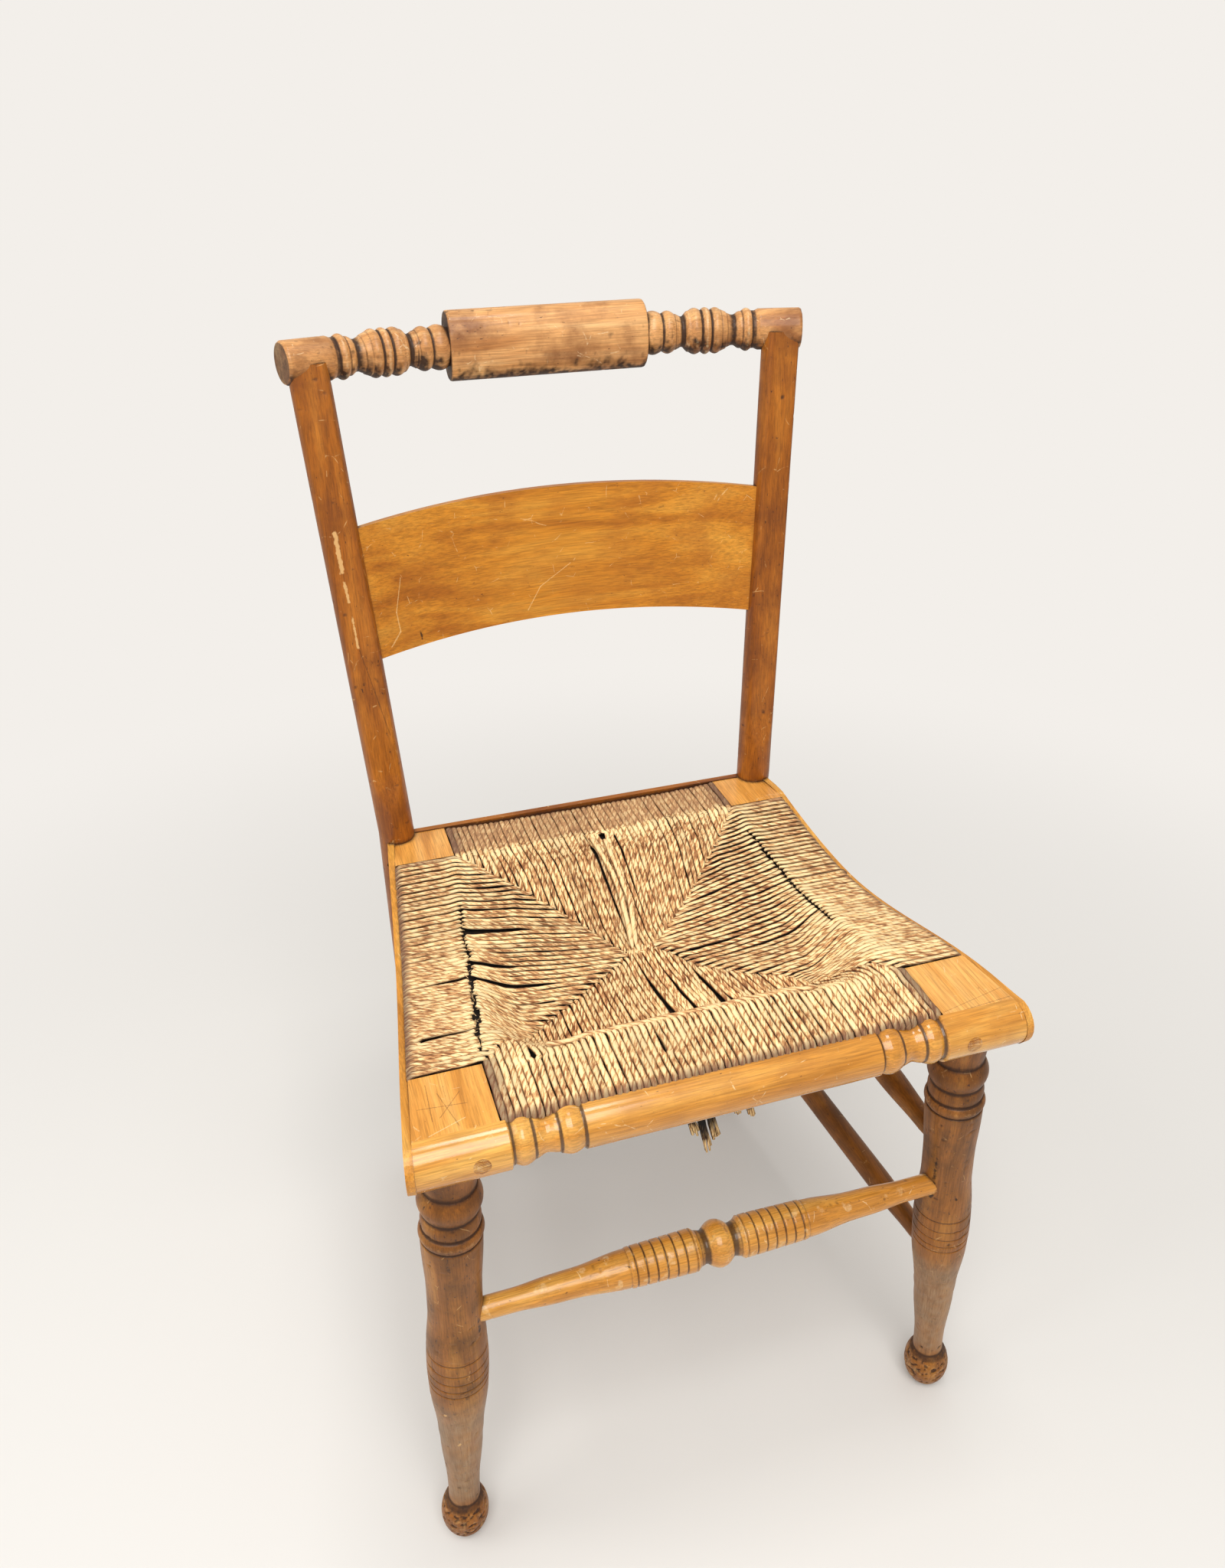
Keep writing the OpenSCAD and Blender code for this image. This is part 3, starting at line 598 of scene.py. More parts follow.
LEG = [(18.7 * math.cos(math.radians(a)), 24.5 + 26 * math.sin(math.radians(a)))
       for a in range(-80, 41, 10)]
LEG = [(0, LEG[0][1])] + LEG + [(12.4, 43.5), (12.2, 50)] + run(60, 122, 12.3, 16.2)
LEG += run(130, 186, 17, 21.9) + groove(191, 22.1) + groove(197.5, 22.4) + groove(205.5, 22.5)
LEG += groove(214.5, 22.4) + groove(225, 22, 1, 1.2) + run(228, 264, 21.7, 19.4, 8)
LEG += run(285, 330, 19.4, 21.3) + [(21.4, 335.8), (20, 337)] + bead(338, 346.5, 21, 22.4)
LEG += [(19.8, 347.2)] + bead(348, 358, 19.8, 20.6) + [(19, 360)] + bead(361, 382, 19, 22.2, 10)
LEG += [(18.2, 382.8), (18.2, 384.5), (20.6, 402), (20.6, 412), (0, 412)]

BARREL = [(17.3 * math.cos(math.radians(9 * i)), 2 * i) for i in range(6)]
BARREL += run(11.5, 15.5, 12, 13) + [(13.6, 16.5)]
for g in range(7):
    BARREL += groove(20 + 7.6 * g, 15.6 - 0.16 * g, 1, 1.3)
BARREL += [(14.4, 69), (13.6, 70)] + run(71, 112, 13.8, 10.4) + run(122, 156, 10.2, 8.3)
BARREL += [(8.3, 186.8), (0, 186.8)]

CREST = [(0, -6), (15, -6)] + bead(0.5, 14.5, 14, 16.6) + bead(14.5, 24.5, 14, 16.2)
CREST += [(13.6, 24.6), (13.4, 26.5)] + run(26.6, 30.5, 13, 11.5) + run(31, 36, 11.5, 15.5)
CREST += bead(36.5, 46, 15.4, 17.5) + bead(46, 53.5, 15.4, 17.7) + bead(53.5, 62, 15.4, 17.5)
CREST += [(15.6, 62.1), (14, 66)] + run(66.5, 71, 13, 11.5) + run(72, 77, 11.5, 14)
CREST += bead(78.5, 86.5, 14, 16.3) + [(14.2, 86.6), (14.2, 89), (15, 90.5), (15.6, 92)]

POST = [(0, 0), (11, 0), (12.2, 2), (12.5, 40)] + run(60, 240, 13, 15.3) + [(15, 455), (15, 836)]
print("outlines:", len(LEG), "leg points,", len(CREST), "crest points")

# %% Spin an outline
END_ZONE = 2.5                          # mm at each end that count as end grain
DIRTY_DEPTH = 0.9                       # mm below its surroundings where dirt is full
WORN_RISE, MOST_WORN = 2.0, 0.55        # mm above them for full wear, and its limit
DENT_FROM = 0.42                        # noise level above which the wood is dented


def finer(outline, step=1.0):
    """The outline with points added, so that no stretch is longer than step mm."""
    dense = [Vector(outline[0])]
    for start, end in zip(outline, outline[1:]):
        start, end = Vector(start), Vector(end)
        count = max(1, math.ceil((end - start).length / step))
        dense += [start.lerp(end, i / count) for i in range(1, count + 1)]
    return dense


def turned(name, outline, place, node, finish, sides=72, soil=None, dent=0.25, reach=5.0):
    """Spins an outline round z, wears it, and puts it in place. place maps a point in mm
    to its final point; soil(point, normal) gives extra (dirt and painted shade, worn, dust,
    sunk mm); reach is how far along the axis a point's surroundings go, in mm."""
    outline = finer(outline)
    bm = bmesh.new()
    row = [bm.verts.new((point.x, 0, point.y)) for point in outline]
    edges = [bm.edges.new(pair) for pair in zip(row, row[1:])]
    bmesh.ops.spin(bm, geom=row + edges, cent=(0, 0, 0), axis=(0, 0, 1), angle=2 * math.pi,
                   steps=sides, use_merge=True)
    bmesh.ops.remove_doubles(bm, verts=bm.verts, dist=0.001)
    bmesh.ops.recalc_face_normals(bm, faces=bm.faces)
    layer = {key: bm.verts.layers.float.new(key) for key in ("grime_and_shade", "worn", "dust")}
    low, high = outline[0].y, outline[-1].y
    around = {}
    for vert in bm.verts:
        key = round(vert.co.z * 2)
        if key not in around:
            near = [p.x for p in outline if abs(p.y - vert.co.z) <= reach
                    and low + 0.01 < p.y < high - 0.01]
            around[key] = sum(near) / max(1, len(near))
        radius = math.hypot(vert.co.x, vert.co.y)
        at_end = vert.co.z < low + END_ZONE or vert.co.z > high - END_ZONE
        hollow = around[key] - radius if radius > 0.5 * around[key] and not at_end else 0.0
        vert[layer["grime_and_shade"]] = min(1.0, max(0.0, hollow / DIRTY_DEPTH))
        vert[layer["worn"]] = min(MOST_WORN, max(0.0, -hollow / WORN_RISE))
    for vert in bm.verts:
        vert.co = place(vert.co.copy())
    bmesh.ops.recalc_face_normals(bm, faces=bm.faces)
    if bm.calc_volume(signed=True) < 0:
        bmesh.ops.reverse_faces(bm, faces=bm.faces)
    bm.normal_update()
    for vert in bm.verts:
        # soil adds painted shade on undersides and shaded sides, together with dirt, to the dark
        # attribute
        grime_and_shade, worn, dust, sunk = soil(vert.co, vert.normal) if soil else (0, 0, 0, 0)
        knock = noise.noise(vert.co / 5.0 + Vector((7, 3, 1)))
        sunk += dent * max(0.0, knock - DENT_FROM) * 6 + 0.05 * noise.noise(vert.co / 22.0)
        vert[layer["grime_and_shade"]] = max(vert[layer["grime_and_shade"]], grime_and_shade, 2.2 * (knock - 0.5))
        vert[layer["worn"]] = max(vert[layer["worn"]], worn)
        vert[layer["dust"]] = dust
        vert.co = (vert.co - vert.normal * sunk) * MM
    mesh = as_mesh(name, bm)
    on_chair(name, mesh, finish,
             node)
    print(name, len(mesh.polygons), "faces")


def run_from(start, towards):
    """A place function: the lathe's axis starts at one point and heads for another."""
    start = Vector(start)
    turn = Vector((0, 0, 1)).rotation_difference(Vector(towards) - start).to_matrix()
    return lambda point: start + turn @ point


# %% [markdown]
# ## Front legs and stretcher
# Each front leg leans inwards. Its ball foot has taken every knock: the varnish there is
# chipped away in pits, some black with dirt and some down to pale wood. Above it the
# shaft is dull with dust up to the rings. The stretcher is the golden piece that feet
# rest on, with a ball between two ringed barrels.

# %% Legs, stretcher


def soil_leg(point, normal):
    pits = noise.noise(point / 3.2) + 0.5 * noise.noise(point / 1.6)
    foot = smooth(44, 36, point.z)
    pit = foot * smooth(0.12, 0.38, pits)
    bare = foot * smooth(-0.05, -0.3, noise.noise(point / 5.5 + Vector((3, 9, 4))))
    dust = 0.62 * smooth(38, 60, point.z) * smooth(196, 150, point.z)
    dust += 0.08 * smooth(200, 230, point.z) * smooth(380, 300, point.z)
    dust += 0.25 * smooth(196, 150, point.z) * noise.noise(point / 6)
    seat = smooth(44.5, 42, point.z) * smooth(37, 41, point.z)
    return max(pit, 0.7 * seat), 0.5 * bare, dust, 0.9 * pit


def soil_stretcher(point, normal):
    ends = smooth(176, 186, abs(point.x)) * smooth(-0.1, 0.3, noise.noise(point / 4))
    # painted shade: the underside of the stretcher is darkened by its normal
    under = 0.35 * smooth(-0.3, -0.9, normal.z)
    bare = 0.5 * smooth(0.2, 0.5, noise.noise(point / 9))
    return max(ends, under), bare, 0.0, 0.6 * ends


def stand(point, spot):
    """Keeps a foot flat on the floor."""
    point = spot(point)
    point.z = max(0.0, point.z)
    return point


FOOT_X, LEG_TOP_X, LEG_Y, SEAT_Z = 208.5, 186.5, -186, 445
for word, sign in (("left", -1), ("right", 1)):
    axis = run_from((FOOT_X * sign, LEG_Y, 0), (LEG_TOP_X * sign, LEG_Y, SEAT_Z))
    turned("leg_turned_" + word, LEG, lambda point, axis=axis: stand(point, axis),
           "front_leg_" + word, leg_wood, soil=soil_leg, dent=0.3)
turned("stretcher_turned", both_ways(BARREL),
       run_from((0, -190, 256.5), (1, -190, 256.5)), "front_stretcher", turned_gold, sides=60,
       soil=soil_stretcher, dent=0.2)

# %% [markdown]
# ## Crest rail
# The crest rail is one bent stick: a row of beads at each side and a padded-looking oval
# block in the middle, the pillow. The tops are paler, partly worn by hands and partly a
# painted highlight. The undersides and the left-facing flanks of the beads are nearly
# black: old polish and dirt, with painted shade on the sides away from the light.

# %% Crest rail
PILLOW_HALF, PILLOW_HIGH, PILLOW_DEEP = 79.0, 51.5, 36.0
CREST_Y, CREST_Z, CREST_BEND = 207.5, 838, 700
LEAN = math.atan((176 - 147) / (CREST_Z - 455))


def crest_y(x):
    """Depth of the crest rail's axis: an arc that bows backwards."""
    return CREST_Y - CREST_BEND + math.sqrt(CREST_BEND ** 2 - x * x)


def on_crest(point):
    """Wraps a straight turning along the arc."""
    slope = -point.z / math.sqrt(CREST_BEND ** 2 - point.z ** 2)
    tangent = Vector((1, slope, 0)).normalized()
    back = Vector((-tangent.y, tangent.x, 0))
    middle = Vector((point.z, crest_y(point.z), CREST_Z))
    return middle + back * point.y + Vector((0, 0, point.x))


def as_pillow(point):
    """Turns the round section into the pillow's leaning oval."""
    radius = math.hypot(point.x, point.y) / 18
    angle = math.atan2(point.x, point.y)
    c, s = math.cos(angle), math.sin(angle)
    deep = radius * PILLOW_DEEP / 2 * math.copysign(abs(c) ** 0.9, c)
    high = radius * PILLOW_HIGH / 2 * math.copysign(abs(s) ** 0.9, s)
    return Vector((point.z, 205 + deep * math.cos(LEAN) + high * math.sin(LEAN),
                   CREST_Z + high * math.cos(LEAN) - deep * math.sin(LEAN)))


def soil_crest(point, normal):
    cloud = 0.4 * noise.noise(point / 9) + 0.3 * noise.noise(point / 3)
    beads = smooth(80, 84, abs(point.x)) * smooth(174, 170, abs(point.x))
    # painted shade with dirt: the underside and the left-facing flanks of the beads darken by
    # their normal
    shaded = -0.8 * normal.z - (0.55 if point.x < 0 else 0.2) * beads * normal.x + 0.1 * beads
    grime_and_shade = 0.9 * smooth(0.1, 0.95, shaded + cloud)
    faces = smooth(0.8, 0.95, abs(normal.x)) * (1 - beads)
    inner = 1.0 if abs(point.x) < 90 else 0.75
    # the top is made paler by its normal: partly wear from hands, partly painted highlight
    worn = 0.25 * smooth(0.3, 0.9, normal.z + cloud) * (1 - faces)
    return max(grime_and_shade, inner * 0.75 * faces), worn, 0.3 * faces, 0.0


crest_half = [(15, 0)] + [(radius, height + PILLOW_HALF) for radius, height in CREST[1:]]
crest_half += [(15.6, 202.6), (14.6, 204.1), (0, 204.1)]
turned("crest_turned", both_ways(crest_half), on_crest, "crest_rail", crest_wood,
       soil=soil_crest, dent=0.15, reach=4.2)
pillow_half = [(18, 0), (18, PILLOW_HALF - 2), (17.8, PILLOW_HALF - 0.7),
               (17.1, PILLOW_HALF), (0, PILLOW_HALF)]
turned("crest_pillow", both_ways(pillow_half), as_pillow, "crest_rail", crest_wood,
       sides=96, soil=soil_crest, dent=0.1)

# %% [markdown]
# ## Back posts
# A back post is turned, then steamed and bent at the seat, and its front is shaved flat
# from the seat up. The flat starts gently, so its depth is eased in, and its edges are
# softened by wear.

# %% Back posts
SOFT_EDGE = 0.45                        # mm over which the flat's edges are rounded


def bent_post(sign):
    foot, knee, top = (Vector((167 * sign, 190, 0)), Vector((167 * sign, 147, 455)),
                       Vector((187 * sign, 176, 836.5)))
    low, high = (knee - foot).normalized(), (top - knee).normalized()
    span = (knee - foot).length

    def place(point):
        along = point.z * ((top - knee).length + span) / 836.0
        axis = foot + low * along if along < span else knee + high * (along - span)
        ahead = low.lerp(high, smooth(span - 14, span + 14, along)).normalized()
        side = Vector((1, 0, 0)) - ahead * ahead.x
        side.normalize()
        back = ahead.cross(side)
        flat = mixed(15.2, 9.6, smooth(span + 16, span + 62, along))
        proud = -point.y
        if along > span:
            over = (proud - flat) / SOFT_EDGE
            proud = flat - SOFT_EDGE * math.log(1 + math.exp(-over)) if over > -12 else proud
        spot = axis + side * point.x - back * proud
        spot.z = max(0.0, spot.z)
        return spot

    return place


def soil_post(point, normal):
    dust = 0.35 * smooth(300, 60, point.z)
    # painted shade and dirt: the sides facing left and right are darkened by their normal
    shaded = 0.6 * smooth(0.35, 0.9, -0.2 * normal.y + 0.9 * abs(normal.x)
                          + 0.5 * noise.noise(point / 30))
    return 0.35 * shaded, 0.0, dust, 0.0


for word, sign in (("left", -1), ("right", 1)):
    turned("post_turned_" + word, POST, bent_post(sign), "back_post_" + word, post_wood,
           sides=64, soil=soil_post, dent=0.12)

# %% [markdown]
# ## The shape of the seat
# A rush seat is a cord of twisted leaves, wound over one rail, round the corner and over
# the next, until the four fields of strands meet in the middle along diagonal seams.
# Years of sitting have pressed a hollow into it: the rim over the rails keeps its
# height, the front falls away steeply and the back slopes. The hollow is a formula for
# the height at any place, in millimetres, so that every strand can follow it.

# %% Seat surface
front_block = [Vector(c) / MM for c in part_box("front_block_right")]
rear_block = [Vector(c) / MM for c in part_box("rear_block_right")]
FRONT_Y = front_block[0].y + 0.8        # where the rush turns down behind the roll
BACK_Y = rear_block[1].y - 0.8          # and in front of the back strip
FRONT_X, FRONT_SEAM_Y = front_block[0].x, front_block[1].y   # a front block's inner corner
REAR_X, REAR_SEAM_Y = rear_block[0].x, rear_block[0].y       # a rear block's inner corner
SIDE_SLOPE = (front_block[1].x - rear_block[1].x) / (rear_block[0].y - front_block[0].y)
HUB_Y = -16.0                           # the hollow's middle, in depth
HOLLOW_Z = 418.0                        # and its height
LEFT_TIP = (-17.0, -37.0)               # where the side fields end: between these two
RIGHT_TIP = (5.0, -34.0)                # points, strands run straight from back to front
FRONT_RIM_Z = front_block[1].z + 2.0
BACK_RIM_Z = rear_block[1].z - 1.0
BAND = 50.0                             # width of the woven band over each rail


def inner_x(y):
    """Inside face of a side strip at depth y."""
    return front_block[1].x - SIDE_SLOPE * (y - front_block[0].y)


def saddle(y):
    """Top edge of a side rail: low in the middle of the side."""
    if y > -13:
        return 425 + 25 * ((y + 13) / 125) ** 1.6
    return 425 + 9.5 * (1 - math.cos(math.pi * min(1.0, (-13 - y) / 170)))


def seat_top(x, y):
    """Height of the woven surface."""
    deep = (HUB_Y - y) / (HUB_Y - FRONT_Y) if y < HUB_Y else (y - HUB_Y) / (BACK_Y - HUB_Y)
    wide = abs(x) / inner_x(y)
    total = wide ** 6 + deep ** 6 + 1e-9
    out, side = total ** (1 / 6), wide ** 6 / total
    rim = mixed(FRONT_RIM_Z if y < HUB_Y else BACK_RIM_Z, saddle(y) + 5.5, side)
    steep = smooth(0.56, 0.76, out)
    slope = min(1.0, out / 0.5) ** 1.1
    return mixed(HOLLOW_Z, rim, mixed(steep, slope, smooth(-70, 10, y)))


def seat_under(x, y):
    """Height of the underside, which only sags a little."""
    wide, deep = abs(x) / inner_x(y), abs(y - HUB_Y) / 175
    out = min(1.0, (wide ** 6 + deep ** 6) ** (1 / 6))
    side = wide ** 6 / (wide ** 6 + deep ** 6 + 1e-9)
    return mixed(401.0, mixed(412.0, saddle(y) - 27, side), out ** 2)


print("rush from y", round(FRONT_Y, 1), "to", round(BACK_Y, 1), "hollow", HOLLOW_Z)

# %% [markdown]
# ## Seams, cracks and splits
# The seams run from the blocks' inner corners to the two tips in the middle. Most of the
# places below were worked out by another program, and some of them then rounded. The
# damage is listed in the seat's own millimetres: cracks cross the strands just inside
# the side rails, where the cord bends most, and splits open between two strands.

# %% Seams
# the seam behind the front field and the one before the rear field, left to right (x, y)
SEAMS = {
    "front": [(-FRONT_X, FRONT_SEAM_Y), (-119.7, -112.5), (-99, -93), (-71.5, -75), (-37, -51),
              LEFT_TIP, RIGHT_TIP, (18, -50), (31, -66), (45, -74), (60, -85), (84, -95),
              (FRONT_X, FRONT_SEAM_Y)],
    "rear": [(-REAR_X, REAR_SEAM_Y), (-110.5, 84), (-90.6, 57), (-59, 26), (-38, 0), LEFT_TIP,
             RIGHT_TIP, (39, 0), (63, 23), (94.6, 57), (REAR_X, REAR_SEAM_Y)]}


def seam(side, x):
    """Depth of a seam at x."""
    line = SEAMS[side]
    x = min(line[-1][0], max(line[0][0], x))
    for (x0, y0), (x1, y1) in zip(line, line[1:]):
        if x <= x1:
            return mixed(y0, y1, (x - x0) / (x1 - x0))


print("the front seam meets the left tip at depth", seam("front", LEFT_TIP[0]))

# %% Cracks and splits
# a crack: side, points (x, y) along it, half width at each point
CRACKS = [
    ("left", [(-132.8, 43), (-138, 4.7), (-137.4, -6), (-139, -20.5), (-143, -45), (-145.8, -69),
              (-147, -85), (-149, -102.5), (-152.2, -116.6), (-152.3, -131), (-153.5, -139.6)],
     [0.2, 0.6, 1.1, 1.6, 1.3, 1.9, 2.0, 3.0, 1.7, 1.1, 1.3]),
    ("right", [(126.5, 68.4), (128.9, 58), (130.9, 51), (131.3, 39), (134.6, 22), (136.6, -3.6),
               (139.2, -28.4), (141.9, -56), (142.5, -67)],
     [0.2, 0.5, 0.9, 1.2, 1.3, 1.1, 0.9, 0.7, 0.3]),
]
# a split: field, place across the strands, depth where it gapes, depth where it closes,
# half width where it gapes
SPLITS = [
    ("left", 13, 47, 104, 3.0), ("left", -23.5, 47, 86, 2.5), ("left", -44, 47, 112, 2.4),
    ("left", -44, 49, 4, 2.2), ("left", -113, 8, 50, 2.6), ("left", 62, 62, 100, 0.6),
    ("left", 40, 50, 100, 0.5), ("left", -62, 110, 60, 0.7), ("left", -80, 100, 60, 0.6),
    ("right", -31, 164, 118, 1.2), ("right", -48, 52, 140, 0.6), ("right", -88, 106, 52, 0.7),
    ("right", 20, 130, 70, 0.5), ("right", 50, 60, 20, 0.5),
    ("front", 4.5, 76, 146, 1.8), ("front", 21, 76, 140, 1.5), ("front", 46.5, 80, 138, 1.9),
    ("front", 54, 78, 102, 1.8), ("front", -36, 24, 44, 0.9), ("front", -122, 44, 62, 1.4),
    ("front", -30, 70, 120, 0.6), ("rear", -11.5, 66, 150, 1.0), ("rear", 11.3, 54, 150, 1.0),
    ("rear", 1.5, 50, 72, 2.4),
]


def crack_at(side, y):
    """(x, half width) where a crack crosses a side strand at depth y, or None."""
    for name, points, widths in CRACKS:
        if name != side:
            continue
        for (x0, y0), (x1, y1), w0, w1 in zip(points, points[1:], widths, widths[1:]):
            if min(y0, y1) <= y < max(y0, y1):
                t = (y - y0) / (y1 - y0)
                return mixed(x0, x1, t), mixed(w0, w1, t)
    return None


def opened(field, across, depth):
    """How far a strand is pushed aside by the splits next to it."""
    push = 0.0
    for name, centre, gape, close, half in SPLITS:
        along = (depth - gape) / (close - gape)
        if name == field and 0 < along < 1:
            away = across - centre
            swell = min(1.0, along * 30) * (1 - along) ** 0.65
            reach = (1.6 if field == "front" else 1.3) * half
            push += math.copysign(reach * swell * math.exp(-abs(away) / 10), away)
    return push


print(len(CRACKS), "cracks and", len(SPLITS), "splits")

# %% [markdown]
# ## One strand
# A strand is swept: a small ring of points is extruded step by step along its path, and
# each new ring is set down at right angles to it. Its section isn't round. Two plies
# twisted together leave a lobed, slightly flattened cord, so the ring's radius rises
# and falls with a twist that turns as it goes. Each point keeps how far along the cord
# and how far round it lies, its strand's own tone, and how worn and dirty it is there,
# for the material to use.

# %% Sweep a strand
LAYERS = ("along", "around", "tone", "worn", "dirt", "dusty")
TWIST = 30.0                            # length in mm of one full turn of the two plies


def sweep_strand(points, sizes, tone, worn, dirt, dusty=None, sides=7, lobes=0.1):
    """A closed cord through points (mm). sizes (half width, half height), worn, dirt and
    dusty are lists with a value for each point."""
    dusty = dusty or [0.0] * len(points)
    bm = bmesh.new()
    layer = {name: bm.verts.layers.float.new(name) for name in LAYERS}
    ring = bmesh.ops.create_circle(bm, segments=sides, radius=1.0)["verts"]
    for vert in ring:
        vert[layer["around"]] = math.atan2(vert.co.y, vert.co.x) / (2 * math.pi)
    edges = list(bm.edges)
    along, phase = 0.0, tone * 40
    last = len(points) - 1
    for i, point in enumerate(points):
        ahead = (points[min(i + 1, last)] - points[max(i - 1, 0)]).normalized()
        if i == 0:
            side = ahead.cross(Vector((0, 0, 1)) if abs(ahead.z) < 0.8 else Vector((0, -1, 0)))
        side = (side - ahead * side.dot(ahead)).normalized()
        up = side.cross(ahead)
        if i:
            along += (point - points[i - 1]).length
            grown = bmesh.ops.extrude_edge_only(bm, edges=edges)["geom"]
            ring = [g for g in grown if isinstance(g, bmesh.types.BMVert)]
            edges = [g for g in grown if isinstance(g, bmesh.types.BMEdge)]
        swell = 1 + 0.1 * noise.noise((along / 7, tone * 90, 3.0))
        for vert in ring:
            angle = vert[layer["around"]] * 2 * math.pi
            lobe = swell * (1 + lobes * math.cos(2 * angle - 2 * math.pi * along / TWIST + phase))
            vert.co = (point + side * (math.cos(angle) * sizes[i][0] * lobe)
                       + up * (math.sin(angle) * sizes[i][1] * lobe)) * MM
            vert[layer["along"]] = along * MM
            vert[layer["tone"]] = tone
            vert[layer["worn"]] = worn[i]
            vert[layer["dirt"]] = dirt[i]
            vert[layer["dusty"]] = dusty[i]
        if i == 0:
            bmesh.ops.edgeloop_fill(bm, edges=edges)
    bmesh.ops.edgeloop_fill(bm, edges=edges)
    bmesh.ops.recalc_face_normals(bm, faces=bm.faces)
    return bm


def gather(name, strands, material, node=None):
    """Joins swept strands into one object that rides on the chair."""
    whole = bmesh.new()
    for key in LAYERS:
        whole.verts.layers.float.new(key)
    for bm in strands:
        strand = as_mesh(name, bm)
        whole.from_mesh(strand)
        bpy.data.meshes.remove(strand)
    mesh = as_mesh(name, whole)
    on_chair(name, mesh, material, node)
    print(name, len(strands), "strands,", sum(len(p.vertices) - 2 for p in mesh.polygons),
          "triangles")


# %% [markdown]
# ## Twisted rush
# Rush is a dried marsh leaf, twisted by hand into cord. Where it is rubbed the surface
# is pale straw, in short dashes along the twist; in between it is mid brown, and it
# turns grey-black where sweat and dust collect beside the wood. The dashes are about
# 1.5 mm wide and 10 mm long, and the leaf's own fibres are finer than the render can
# show, so they are drawn 0.5 mm wide.

# %% Rush material
RUSH_DUST, RUSH_DIRT = "#b98f66", "#6c4c3c"


def rush_material(name, tones, dirt_gain=1.0, furrow=0.15, soil=RUSH_DIRT):
    """tones: dark furrow, brown, tan, pale straw, palest straw; furrow: how bright the painted
    shade between two strands stays; soil: the colour of the dirt on it."""
    material, tree, surface = new_material(name)
    along, around, tone, worn, dirt, dusty = [
        add(tree, "Attribute", attribute_name=key, out="Fac") for key in LAYERS]
    # coordinates that turn with the twist: across the leaf, along the cord, per strand
    turn = add(tree, "Math", {0: along, 1: 1 / (TWIST * MM), 2: around},
               operation="MULTIPLY_ADD")
    turn = add(tree, "Math", {0: turn, 1: 2 * math.pi}, operation="MULTIPLY")
    round_x = add(tree, "Math", {0: turn}, operation="COSINE")
    round_y = add(tree, "Math", {0: turn}, operation="SINE")
    shift = add(tree, "Math", {0: tone, 1: 37.0}, operation="MULTIPLY")
    stretch = add(tree, "Math", {0: along, 1: 1 / 0.0125, 2: shift}, operation="MULTIPLY_ADD")
    wrap = add(tree, "CombineXYZ", {"X": round_x, "Y": round_y, "Z": stretch})
    dash = add(tree, "TexNoise", {"Vector": wrap, "Scale": 1.35, "Detail": 3.0,
                                  "Roughness": 0.6})
    fine = add(tree, "VectorMath", {0: wrap, 1: (6.0, 6.0, 0.9)}, operation="MULTIPLY")
    fibre = add(tree, "TexNoise", {"Vector": fine, "Scale": 1.0, "Detail": 2.0})
    place = add(tree, "TexCoord", out="Object")
    cloud = add(tree, "TexNoise", {"Vector": place, "Scale": 1 / 0.03, "Detail": 4.0})
    # the crown of the cord is paler, partly rubbed and partly a painted highlight;
    # its flanks and underside get painted shade, near black at the bottom
    crown = add(tree, "Math", {0: around, 1: 2 * math.pi}, operation="MULTIPLY")
    crown = add(tree, "Math", {0: crown}, operation="SINE")
    patch = add(tree, "TexNoise", {"Vector": place, "Scale": 1 / 0.011, "Detail": 3.0})
    pale = add(tree, "Math", {0: dash, 1: 1.5, 2: -0.25}, operation="MULTIPLY_ADD")
    for part, share in ((crown, 0.10), (worn, 0.16), (fibre, 0.16), (cloud, 0.14),
                        (patch, 0.30)):
        pale = add(tree, "Math", {0: part, 1: share, 2: pale}, operation="MULTIPLY_ADD")
    colour = add(tree, "ValToRGB", {"Fac": pale},
                 stops=list(zip((0.68, 0.80, 0.90, 0.95, 1.0), tones)))
    # painted shade: the flanks and underside of each strand darken, for the shade in the furrows
    # between strands
    valley_shade = [1.4 * furrow, 0.9 * furrow, 0.65 * furrow, 1]
    flank_shade = add(tree, "ValToRGB", {"Fac": crown}, stops=[
        (0.0, 0.01), (0.3, [0.25 * v for v in valley_shade]), (0.5, valley_shade),
        (0.66, [0.4 + 0.5 * v for v in valley_shade]), (0.82, 1.0)])
    clogged = add(tree, "Math", {0: dusty, 1: 0.6}, operation="MULTIPLY")
    flank_shade = add(tree, "Mix", {0: clogged, 6: flank_shade, 7: [1.0] * 4}, out=2, data_type="RGBA")
    colour = add(tree, "Mix", {0: 1.0, 6: colour, 7: flank_shade}, out=2, data_type="RGBA",
                 blend_type="MULTIPLY")
    vary = add(tree, "Math", {0: tone, 1: 0.26, 2: 0.86}, operation="MULTIPLY_ADD")
    colour = add(tree, "HueSaturation", {"Color": colour, "Value": vary})
    uneven = add(tree, "Math", {0: cloud, 1: 0.9, 2: 0.5}, operation="MULTIPLY_ADD")
    # a film of dust over the bands, then the dark dirt beside the wood
    for amount, start, most, tint in ((dusty, 0.35, 0.6, RUSH_DUST),
                                      (dirt, 0.15, 0.8 * dirt_gain, soil)):
        mask = add(tree, "Math", {0: amount, 1: uneven}, operation="MULTIPLY")
        mask = add(tree, "MapRange", {"Value": mask, "From Min": start, "From Max": 0.95,
                                      "To Max": most})
        colour = add(tree, "Mix", {0: mask, 6: colour, 7: linear(tint)}, out=2,
                     data_type="RGBA")
    height = add(tree, "Math", {0: fibre, 1: 0.6, 2: dash}, operation="MULTIPLY_ADD")
    bump = add(tree, "Bump", {"Height": height, "Strength": 0.7, "Distance": 0.0006})
    fill(tree, surface, {"Base Color": colour, "Normal": bump, "Roughness": 0.78,
                         "Specular IOR Level": 0.3})
    return material


